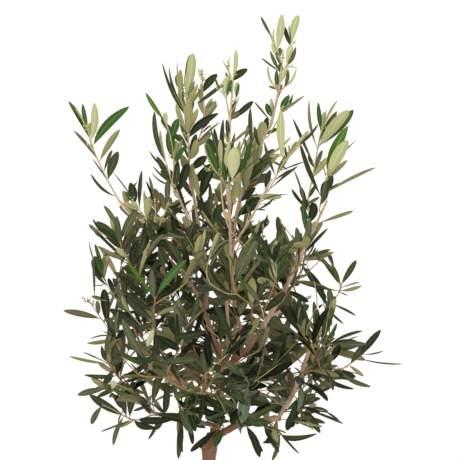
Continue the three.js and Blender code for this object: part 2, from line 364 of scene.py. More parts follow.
def read_masses():
    """Each mass's path and radii, from the end near the upper fork outwards."""
    found = {}
    for name in MASSES:
        points, edges = node_arrays(name)
        axis, stretch = long_axis(points)
        away = unit(points.mean(0) - HEART)
        axis = axis if axis @ away > 0 else -axis
        found[name] = run_of(points, edges, unit(blend(away, axis, ease(stretch, *STRETCHED))))
    return found


MASS_RUNS = read_masses()
NEAR = 40 * MM  # a point further than this outside a mass's box counts as that far away
CASTS = 12
CAST_WAY = Vector((0.0213, 0.0171, 1.0)).normalized()
CAST_STEP = 0.01 * MM


class Shape:
    """A closed shape that tells how deep a point is in it."""

    def __init__(self, tree, points):
        self.tree = tree
        self.low, self.high = points.min(0), points.max(0)

    def holds(self, point):
        """True inside the shape: a ray from there meets its skin an odd number of times."""
        start, hits = Vector(point), 0
        for _ in range(CASTS):
            place = self.tree.ray_cast(start, CAST_WAY)[0]
            if place is None:
                break
            hits += 1
            start = place + CAST_WAY * CAST_STEP
        return hits % 2 == 1

    def depth(self, point):
        """How far a point is inside, or below zero outside."""
        beyond = np.maximum(self.low - point, point - self.high).max()
        if beyond > NEAR:
            return -beyond
        gap = self.tree.find_nearest(Vector(point))[3]
        return gap if beyond < 0 and self.holds(point) else -gap


def node_shape(name):
    """A node as a closed shape."""
    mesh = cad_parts[name].data
    faces = [tuple(face.vertices) for face in mesh.polygons]
    tree = BVHTree.FromPolygons([vertex.co.copy() for vertex in mesh.vertices], faces)
    return Shape(tree, node_arrays(name)[0])


SHAPES = {name: node_shape(name) for name in MASSES}


# Leaves

PETIOLE_SHARE = 0.075  # of the leaf's length
PETIOLE_WIDTH, PETIOLE_DEPTH = 1.1 * MM, 1.0 * MM
BLADE_DEPTH, RIB_DEPTH, GROOVE_DEPTH = 0.34 * MM, 0.32 * MM, 0.12 * MM
TIP_WIDTH = 0.5 * MM
BASE_SUNK = 0.6 * MM
RIPPLE_RATE = 11  # radians along a blade
# Shares of a blade: where it has thinned, where its rib is full and fades, where fold and ripple are full
THIN_AT, RIB_FULL, RIB_FADES, FOLD_FULL, RIPPLE_FULL = 0.12, 0.1, 0.7, 0.15, 0.2
LEAST_BEND = 1e-3
STEM_RINGS = (0.0, 0.6)
BLADE_RINGS = (0.0, 0.05, 0.13, 0.25, 0.39, 0.53, 0.66, 0.78, 0.87, 0.94, 0.985, 1.0)
UPPER_PLACES = (1.0, 0.56, 0.085, -0.085, -0.56, -1.0)
UNDER_PLACES = (-0.56, -0.1, 0.1, 0.56)
RIB_PLACES = 0.2  # places nearer to the middle than this are on the rib or the groove
UPPER, UNDER, VEIN, RIB, STALK = range(5)
STRIP_KINDS = (UPPER, UPPER, VEIN, UPPER, UPPER, UNDER, UNDER, RIB, UNDER, UNDER)
LEAF_SIDES = len(STRIP_KINDS)
LEAF_RINGS = len(STEM_RINGS) + len(BLADE_RINGS)
LEAF_MARGINS = np.isin(np.arange(LEAF_SIDES), (0, len(UPPER_PLACES) - 1))


def leaf_face_kinds():
    """The kind of surface of each triangle of a leaf, in the order of band_faces."""
    kinds = []
    for ring in range(LEAF_RINGS - 1):
        for kind in STRIP_KINDS:
            kinds += [STALK if ring < len(STEM_RINGS) else kind] * 2
    return np.array(kinds + [STALK] * (LEAF_SIDES - 2) + [UPPER] * (LEAF_SIDES - 2))


def leaf_points(leaves):
    """The points of all the leaves, as an array of leaf, ring, side and axis."""
    stems = np.array(STEM_RINGS) * PETIOLE_SHARE
    blade = np.array(BLADE_RINGS)
    u = np.concatenate([stems, PETIOLE_SHARE + blade * (1 - PETIOLE_SHARE)])[None, :, None]
    v = np.concatenate([np.zeros(len(stems)), blade])[None, :, None]
    get = {key: np.array([leaf[key] for leaf in leaves]) for key in leaves[0] if key != "tones"}
    get = {key: value[:, None] if value.ndim == 2 else value[:, None, None] for key, value in get.items()}

    full, slope = get["full"], get["slope"]
    peak = full / (full + slope)
    shape = v**full * (1 - v) ** slope / (peak**full * (1 - peak) ** slope)
    widest = get["width"] / 2
    half = np.maximum(widest * shape, blend(PETIOLE_WIDTH / 2, TIP_WIDTH / 2, ease(v, 0, 1)))
    thick = blend(PETIOLE_DEPTH, BLADE_DEPTH, ease(v, 0, THIN_AT))

    bend = np.where(np.abs(get["bend"]) < LEAST_BEND, LEAST_BEND, get["bend"])
    turn = bend * u
    along, out = np.sin(turn) / bend, (1 - np.cos(turn)) / bend
    direction, normal = get["direction"], get["normal"]
    side = np.cross(direction, normal)
    middle = direction * along + normal * out + side * (get["sway"] * u * u)
    middle = get["base"] + middle * get["length"]
    lift = normal * np.cos(turn) - direction * np.sin(turn)
    roll = get["twist"] * u
    face = lift * np.cos(roll) + side * np.sin(roll)
    wide = side * np.cos(roll) - lift * np.sin(roll)

    places = np.array(UPPER_PLACES + UNDER_PLACES)
    upper = np.arange(places.size) < len(UPPER_PLACES)
    height = thick / 2 * np.sqrt(np.maximum(0, 1 - places**2)) * np.where(upper, 1, -1)
    ribbed = (np.abs(places) < RIB_PLACES) * (ease(v, 0, RIB_FULL) * (1 - ease(v, RIB_FADES, 1)))
    height = height - ribbed * np.where(upper, GROOVE_DEPTH, RIB_DEPTH)
    fold = get["fold"] * ease(v, 0, FOLD_FULL)
    ripple = get["ripple"] * np.sin(v * RIPPLE_RATE + get["phase"]) * places
    height = height + half * (fold * places**2 + ripple * ease(v, 0, RIPPLE_FULL))
    spread = half * places
    return middle[:, :, None] + wide[:, :, None] * spread[..., None] + face[:, :, None] * height[..., None]


# The ranges of the powers that shape a leaf's outline at its base and tip, the spread of its twist,
# and its most fold and ripple
GROWN_TRAITS = ((0.75, 1.05), (0.45, 0.75), 0.35, 0.42, 0.04)
POSED_TRAITS = ((0.75, 1.0), (0.5, 0.75), 0.12, 0.3, 0.03)
BEND, BEND_SPREAD, SWAY_SPREAD = -0.2, 0.3, 0.06
STRAIGHTER = 0.55  # how much less young leaves bend
LEAST_FOLD = 0.05
TIP_RADII = (0.65, 0.9)  # of shoots in the lower crown and at the top, in millimetres
# A shoot that starts this few points from its carrier's end takes on its radius, or goes on from it
NEAR_END, AT_END = 4, 2


class Plant:
    """The wood, twigs and leaves as they grow."""

    def __init__(self):
        self.leaves = []
        self.shoots = []

    def put_out(self, base, direction, normal, length, width, traits, draw, bow=None, tones=None):
        """Adds one leaf. bow is its bend and sway, or else they are drawn."""
        youth = youth_at(base[2])
        full, slope, twist, fold, ripple = traits
        leaf = {"base": base - direction * BASE_SUNK, "direction": direction, "normal": normal}
        leaf.update(length=length, width=width, full=draw.uniform(*full), slope=draw.uniform(*slope))
        if bow is None:
            bend = draw.normal(BEND, BEND_SPREAD) * (1 - STRAIGHTER * youth)
            bow = bend, draw.normal(0, SWAY_SPREAD)
        leaf.update(bend=bow[0], sway=bow[1], twist=draw.normal(0, twist))
        leaf.update(fold=draw.uniform(LEAST_FOLD, fold))
        leaf.update(ripple=draw.uniform(0, ripple), phase=draw.uniform(0, 6.28), youth=youth)
        leaf["dice"] = draw.random()
        if tones:
            leaf["tones"] = tones
        self.leaves.append(leaf)


class Wood:
    """A path that carries shoots: its points, directions and, on a twig, what it carries."""

    def __init__(self, path, carrier=None, place=0, first=0.0):
        self.path, self.along, self.reach = path, tangents(path), travelled(path)
        self.carrier, self.place, self.first = carrier, place, first
        self.tip_radius = blend(*TIP_RADII, youth_at(path[-1][2])) * MM
        self.joints = []
        self.load = np.zeros(len(path))
        self.beyond = self.reach[-1] - self.reach
        self.continued = self.posed = False
        self.start = self.end_radius = 0.0
        if carrier is not None and place >= len(carrier.path) - NEAR_END:
            self.start = carrier.end_radius
        if carrier is not None and place >= len(carrier.path) - AT_END:
            carrier.continued = True


plant = Plant()

LEAF_STRAY = 9 * MM  # a leaf's tip may be this far outside the masses
YOUNG_STRAY = 14 * MM  # and this far among the young upper shoots
INNER_MARGIN = 26 * MM  # the depth in the crown's hull that counts as the skin of the thicket
INNER_TOP = 0.765  # the height up to which the crown is one thicket
OUTLYING = ("outer_left", "outer_right", "top_right", "left_shoot", "inner_right", "top", "right_low")
YOUNG_HEIGHTS = (0.62, 0.80)  # the crown is old below the first and young above the second
TRUNK_MIDDLE = HEART[:2] * [0.5, 0]  # seen from above, halfway from the trunk's foot to the upper fork
OUT_DISTANCES = (26 * MM, 80 * MM)


def short(name):
    """A mass's name without its first word."""
    return name.removeprefix("foliage_")


def inner_hull():
    """The hull round the main crown, where shoots also fill the gaps between the masses."""
    shell = bmesh.new()
    for name in MASSES:
        points, _ = node_arrays(name)
        if short(name) not in OUTLYING:
            for point in points[points[:, 2] < INNER_TOP]:
                shell.verts.new(point)
    bmesh.ops.convex_hull(shell, input=shell.verts)
    shape = Shape(BVHTree.FromBMesh(shell), np.array([vertex.co for vertex in shell.verts]))
    shell.free()
    return shape


INNER = inner_hull()


def depth(point):
    """How far a point is inside the crown: the masses, and the thicket between the lower ones."""
    in_masses = max(shape.depth(point) for shape in SHAPES.values())
    return max(in_masses, INNER.depth(point) - INNER_MARGIN)


def youth_at(height):
    """0 in the lower crown and 1 at the top."""
    return float(ease(height, *YOUNG_HEIGHTS))


def outness(points):
    """0 near the trunk, seen from above, and 1 well out from it, for points."""
    return ease(np.linalg.norm(points[..., :2] - TRUNK_MIDDLE, axis=-1), *OUT_DISTANCES)


# What the photograph shows, by its pixels


def seen(x, y, depth):
    """The point that shows at a pixel of the front view, a depth in metres behind the trunk's middle."""
    spot = VIEW_CENTRE + np.array([(x - MIDDLE_PIXEL) * PIXEL, 0, (MIDDLE_PIXEL - y) * PIXEL])
    return EYE + (spot - EYE) * (VIEW_DISTANCE + depth) / VIEW_DISTANCE


def pixels_of(points):
    """The pixels of the front view at which points show."""
    away = (points - EYE) * (VIEW_DISTANCE / (points[:, 1] - EYE[1]))[:, None]
    return np.stack([away[:, 0] / PIXEL + MIDDLE_PIXEL, MIDDLE_PIXEL - away[:, 2] / PIXEL], 1)


def nearest_shown(woods, pixel):
    """The wood that shows nearest to a pixel, and the place on it."""
    found = [nearest_on(pixels_of(wood.path), pixel) for wood in woods]
    index = min(range(len(woods)), key=lambda number: found[number][0])
    return woods[index], found[index][1]


# Where the sky shows through: the middle, half width and half height of each opening
SKY = np.array([
    (191, 204, 2, 8), (176, 222, 2, 4), (178, 242, 3, 3), (225, 205, 2.5, 6), (237, 217, 2, 3),
    (238, 249, 5, 7), (193, 256, 2, 4), (221, 260, 1.5, 3), (157, 214, 3, 4), (161, 207, 2, 3),
    (122, 214, 5, 8), (133, 230, 3, 2), (117, 266, 5, 6), (111, 280, 4, 9), (114, 301, 3, 4),
    (112, 313, 3, 4), (107, 322, 4, 4), (120, 324, 3, 3), (92, 327, 12, 9), (192, 302, 2, 3),
    (161, 298, 2, 3), (270, 210, 12, 8), (288, 212, 10, 10), (290, 230, 7, 12), (270, 235, 4, 12),
    (262, 233, 2, 5), (305, 224, 1.5, 6), (321, 243, 10, 6), (314, 266, 6, 5), (322, 275, 8, 8),
    (330, 283, 5, 5), (301, 275, 6, 4), (301, 291, 12, 7), (320, 294, 4, 8), (275, 225, 4, 9),
    (255, 222, 6, 4), (314, 300, 5, 6), (329, 295, 4, 9), (309, 307, 4, 6), (345, 320, 9, 9),
    (125, 343, 4, 8), (114, 353, 4, 5), (134, 355, 2, 5), (125, 369, 4, 5), (125, 380, 4, 2),
    (168, 333, 3, 3), (179, 346, 2, 4), (143, 388, 6, 5), (151, 389, 3, 3), (136, 404, 3, 3),
    (141, 413, 11, 6), (160, 411, 3, 3), (167, 413, 4, 3), (174, 407, 4, 9), (184, 385, 5, 3),
    (182, 392, 2, 2), (197, 389, 3, 4), (196, 382, 2, 2), (227, 397, 3, 5), (92, 352, 10, 8),
    (93, 370, 10, 5), (112, 404, 6, 6), (96, 418, 8, 6), (160, 433, 8, 7), (246, 361, 3, 3),
    (273, 356, 3, 2), (283, 362, 3, 3), (288, 365, 3, 2), (305, 390, 3, 3), (341, 359, 7, 6),
    (323, 380, 4, 3), (337, 382, 9, 4), (333, 394, 12, 5), (335, 402, 14, 4), (345, 415, 9, 5),
    (376, 378, 6, 16), (248, 411, 4, 5), (384, 341, 8, 8), (362, 337, 6, 5), (385, 360, 14, 3),
    (392, 352, 12, 5), (380, 366, 12, 4), (337, 408, 8, 4), (340, 430, 7, 9), (326, 421, 3, 5),
    (336, 257, 6, 5), (330, 247, 4, 3), (86, 254, 6, 9), (86, 296, 5, 6), (89, 406, 9, 6), (106, 421, 7, 9),
    (88, 341, 6, 4), (92, 322, 9, 4), (88, 373, 6, 3), (70, 330, 16, 9), (345, 250, 9, 14),
    (341, 307, 5, 9), (171, 427, 5, 5), (218, 185, 3, 5), (256, 191, 4, 5), (84, 234, 11, 8),
    (235, 134, 4, 3), (236, 143, 3, 3),
])
# The stretches of limb that no leaf hides
CLEAR_LIMBS = [
    [(229, 205), (231, 251), (233, 276), (234, 290)],
    [(205, 254), (208, 240), (213, 233)],
    [(206, 322), (205, 312), (207, 290)],
    [(278, 415), (287, 403), (294, 391), (300, 376), (303, 366), (308, 352)],
    [(236, 362), (246, 351), (255, 340), (259, 333), (262, 306), (270, 290)],
    [(263, 331), (273, 314), (282, 295), (288, 278), (300, 257)],
    [(221, 354), (214, 340), (206, 322)],
    [(223, 431), (234, 426)],
]
CLEAR_WIDTH = 4.5  # pixels
MARK_STEP = 2.0  # pixels
CLEAR_MARKS = np.concatenate(
    [smooth_path([(x, y, 0) for x, y in stretch], MARK_STEP, 2)[:, :2] for stretch in CLEAR_LIMBS]
)
# The part of the view where posed leaves show: its middle, half width and half height
POSED_ZONE = np.array([(209, 185, 62, 46)])
LEAF_SAMPLES = np.array([0.2, 0.4, 0.6, 0.8, 0.95])[:, None]
FRONT_SIDE = -5 * MM  # only leaves nearer to the viewer than this hide a limb


def squares_off(pixels, ovals):
    """How far pixels are from the middles of ovals, squared, where 1 is an oval's edge."""
    return (((pixels[:, None, :] - ovals[None, :, :2]) / ovals[None, :, 2:]) ** 2).sum(2)


def in_the_way(base, chord):
    """True where a leaf would cover an opening in the crown, or a limb that shows."""
    points = base + chord * LEAF_SAMPLES
    pixels = pixels_of(points)
    if (squares_off(pixels, SKY) < 1).any():
        return True
    if points[:, 1].mean() > FRONT_SIDE:
        return False
    if (squares_off(pixels, POSED_ZONE) < 1).any():
        return True
    gaps = np.linalg.norm(pixels[:, None, :] - CLEAR_MARKS[None], axis=2)
    return bool(gaps.min() < CLEAR_WIDTH)


# Growth

LEAF_TRIES = 6
USUAL_SLIM = 4.6  # a leaf's length over its width
SLIM_RANGE = (4.0, 5.6)
LEAST_WIDTH, MOST_WIDTH = 6 * MM, 17 * MM
# Ranges for leaves in the lower crown, and then at the top or high up
DROOPS = ((-0.34, 0.34), (-0.05, 0.06))
SKYWARD = ((0.24, 1.0), (0.0, 0.35))  # how far a leaf faces the sky more than its stem
SKYWARD_HEIGHTS = (0.46, 0.72)
ANGLES = ((26, 60), (16, 44))
SIZES = ((48, 70), (42, 68))
SIZE_RANGE = (0.85, 1.12)  # of the size that a leaf should have
NORMAL_SPREAD = 0.25
AIM_BACK, CUT_BACK = 0.3, 0.95  # how the next try turns to the shoot, and its share of the length
FACE_UP, FACE_OUT = 0.5, 0.85


def add_leaf(base, along, away, angle, size, draw):
    """One leaf at a joint. along is the shoot's direction and away the leaf's side of it."""
    youth = youth_at(base[2])
    direction = unit(along * math.cos(angle) + away * math.sin(angle))
    direction = unit(direction - UP * drawn(draw, DROOPS, youth))
    length = size * draw.uniform(*SIZE_RANGE)
    stray = blend(LEAF_STRAY, YOUNG_STRAY, youth)
    for _ in range(LEAF_TRIES):
        if depth(base + direction * length) > -stray and not in_the_way(base, direction * length):
            break
        direction = unit(direction + along * AIM_BACK + draw.normal(0, NORMAL_SPREAD, 3))
        length *= CUT_BACK
    else:
        return
    outward = unit((base - HEART) * [1, 1, 0])
    lift = drawn(draw, SKYWARD, ease(base[2], *SKYWARD_HEIGHTS))
    normal = square_to(along, direction) * (1 - lift) + (UP * FACE_UP + outward * FACE_OUT) * lift
    normal = square_to(normal + draw.normal(0, NORMAL_SPREAD, 3), direction)
    width = np.clip(length / draw.uniform(*SLIM_RANGE), LEAST_WIDTH, MOST_WIDTH)
    plant.put_out(base, direction, normal, length, width, GROWN_TRAITS, draw)


LEAFY = (95 * MM, 190 * MM)  # leaves thin out between these distances behind a shoot's tip
YOUNG_LEAFY = (150 * MM, 280 * MM)
MOST, FEWEST = 0.96, 0.06  # the share of leaves kept on young and old wood
BARE_TIP = 4 * MM
BARE_FOOT = (3, 12)
PAIR_GAP = (14, 23)
TURN_SPREAD = 0.2
TIP_SIZE = 50 * MM
TIP_PAIRS = ((0.92, 16, 34), (0.6, 6, 18))  # the share of that size, and the least and greatest angle


def dress(shoot, draw):
    """Pairs of leaves along a shoot, each pair a quarter turn on from the last, and two at its tip."""
    path, reach = shoot.path, shoot.reach
    distance = shoot.first + draw.uniform(*BARE_FOOT) * MM
    turn = draw.uniform(0, math.pi)
    while distance < reach[-1] - BARE_TIP:
        point, along = place_on(path, reach, distance)
        youth = youth_at(point[2])
        spread = spoke(along, turn)
        shoot.joints.append(distance)
        age = np.interp(distance, reach, shoot.beyond)
        old = ease(age, blend(LEAFY[0], YOUNG_LEAFY[0], youth), blend(LEAFY[1], YOUNG_LEAFY[1], youth))
        for side in (1, -1):
            if draw.random() > blend(MOST, FEWEST, old):
                continue
            angle = math.radians(drawn(draw, ANGLES, youth))
            size = drawn(draw, SIZES, youth) * MM
            add_leaf(point, along, spread * side, angle, size, draw)
        distance += draw.uniform(*PAIR_GAP) * MM
        turn += math.pi / 2 + draw.normal(0, TURN_SPREAD)
    if shoot.continued:
        return
    point, along = path[-1], tangents(path)[-1]
    spread = spoke(along, turn)
    for share, low, high in TIP_PAIRS:
        for side in (1, -1):
            angle = math.radians(draw.uniform(low, high))
            add_leaf(point, along, spread * side, angle, TIP_SIZE * share, draw)
        spread = turned(spread, along, math.pi / 2)


CLIMB_COST = 1.1  # of each metre that a shoot would have to go down
TURN_COST = 0.5
UPRIGHT_COST = 0.7  # of each metre that a shoot in the upper crown is longer than it rises
UPRIGHT_HEIGHTS = (0.48, 0.66)
THICKEST_TWIG = 2.2 * MM
RUN_OUT = 70 * MM  # a shoot that goes on from a limb's end thins out over this length
SHARE_POWER = 2.6  # a fork's thickness: the sum of this power of the radii stays the same
PATH_STEP = 3 * MM


def best_starts(spots, wood):
    """For each spot, the least cost and the place of a shoot from this wood."""
    ways = spots[:, None, :] - wood.path[None, :, :]
    gaps = np.linalg.norm(ways, axis=2)
    agree = np.einsum("ijk,jk->ij", ways, wood.along) / np.maximum(gaps, 1e-6)
    cost = gaps * (1 + TURN_COST * (1 - agree)) + CLIMB_COST * np.maximum(0, -ways[:, :, 2])
    cost += UPRIGHT_COST * ease(spots[:, 2], *UPRIGHT_HEIGHTS)[:, None] * (gaps - ways[:, :, 2])
    place = cost.argmin(1)
    return cost[np.arange(len(spots)), place], place


# The gap between the shoots' tips in a mass, as a share of the usual one
OPEN = {
    "right_middle": 1.4, "right_low": 1.3, "right_bottom": 1.2, "left_low": 1.3, "left_middle": 1.15,
    "left_upper": 1.15, "centre_upper": 0.85, "upper_back": 0.9, "leader": 0.9,
}
POSED_MASSES = (
    "outer_left", "outer_right", "top", "top_right", "top_left", "top_centre", "left_shoot",
    "inner_right", "left_bottom", "right_hanging",
)
SPOT_GAP, YOUNG_GAP, THICKET_GAP = 35 * MM, 26 * MM, 36 * MM
SPOTS_TRIED = 16  # for each spot that would fit
SPOT_DEPTH, YOUNG_DEPTH, THICKET_DEPTH = 20 * MM, 9 * MM, 12 * MM
CORE_SHARE = 0.45  # of a mass's radius: no spot has to be deeper than this
DEEP = (50 * MM, 75 * MM)  # few shoots end deeper in the thicket than this
DEEP_KEPT = 0.35
SKY_MARGIN = 1.5  # the least distance of a shoot's tip from an opening's middle, squared: 1 is its edge


def crown_spots(draw):
    """Spots through the masses and the thicket between them, none too near to another."""
    spots = []

    def scatter(shape, gap, accepts):
        """Keeps the random spots in one shape that suit."""
        size = shape.high - shape.low
        for point in draw.uniform(shape.low, shape.high, (int(size.prod() / gap**3 * SPOTS_TRIED), 3)):
            if spots and nearest_on(np.array(spots), point)[0] < gap:
                continue
            inner = INNER.depth(point)
            if draw.random() > blend(1.0, DEEP_KEPT, ease(inner, *DEEP)):
                continue
            if squares_off(pixels_of(point[None]), SKY).min() >= SKY_MARGIN and accepts(point, inner):
                spots.append(point)

    for name, shape in SHAPES.items():
        if short(name) not in POSED_MASSES:
            middles, radii = MASS_RUNS[name]
            youth = youth_at(middles.mean(0)[2])
            least = min(radii.max() * CORE_SHARE, blend(SPOT_DEPTH, YOUNG_DEPTH, youth))
            gap = blend(SPOT_GAP, YOUNG_GAP, youth) * OPEN.get(short(name), 1.0)
            scatter(shape, gap, lambda point, inner, shape=shape, least=least: shape.depth(point) > least)
    scatter(INNER, THICKET_GAP, lambda point, inner: inner > INNER_MARGIN + THICKET_DEPTH)
    return np.array(spots)


LEADER_HEIGHT = 0.765  # a leader's mass reaches higher than this
TIP_SPACE = 30 * MM


def grow_leaders(woods):
    """A shoot up the middle of each narrow upper mass, from the nearest wood, the nearest mass first."""
    high = [name for name in MASSES if MASS_RUNS[name][0][-1][2] > LEADER_HEIGHT]
    waiting = [name for name in high if short(name) not in SHOWN]
    while waiting:
        ways = (
            (*nearest_on(wood.path, MASS_RUNS[name][0][0]), name, wood)
            for name in waiting
            for wood in woods
        )
        _, place, name, carrier = min(ways, key=lambda way: way[0])
        waiting.remove(name)
        middles = MASS_RUNS[name][0]
        reach = travelled(middles)
        core = middles[reach < reach[-1] - TIP_SPACE]
        start = carrier.path[place]
        path = smooth_path(np.concatenate([[start], core[1::3], core[-1:]]), PATH_STEP)
        woods.append(Wood(path, carrier, place, first=np.linalg.norm(core[0] - start)))
        plant.shoots.append(woods[-1])


LIFT = 0.10  # how far a shoot's middle hangs below its chord, so that its tip turns up
LEAVE = 0.4  # how far a shoot keeps its carrier's direction where it starts
MIDDLE_SPREAD = 0.03  # of a shoot's length
SHORTEST = 12 * MM
SHOOT_FIRST = 4 * MM  # the bare foot of a shoot


def grow_towards(spots, woods, draw):
    """A shoot to each spot from the wood beneath it that is best placed, the easiest first."""
    cost = np.full(len(spots), np.inf)
    choice = np.zeros((len(spots), 2), int)

    def offer(number):
        """Lets each spot choose this wood where it is better."""
        found, place = best_starts(spots, woods[number])
        better = found < cost
        cost[better] = found[better]
        choice[better] = np.stack([np.full(better.sum(), number), place[better]], 1)

    for number in range(len(woods)):
        offer(number)
    waiting = np.ones(len(spots), bool)
    while waiting.any():
        index = int(np.where(waiting, cost, np.inf).argmin())
        waiting[index] = False
        carrier, place = woods[choice[index, 0]], int(choice[index, 1])
        start, end = carrier.path[place], spots[index]
        span = np.linalg.norm(end - start)
        if span < SHORTEST:
            continue
        heading = unit(unit(end - start) + carrier.along[place] * LEAVE)
        stray = draw.normal(0, MIDDLE_SPREAD, 3) * span
        middle = start + heading * span * 0.5 - UP * span * LIFT + stray
        path = smooth_path([start, middle, end], PATH_STEP)
        woods.append(Wood(path, carrier, place, first=SHOOT_FIRST))
        plant.shoots.append(woods[-1])
        offer(len(woods) - 1)


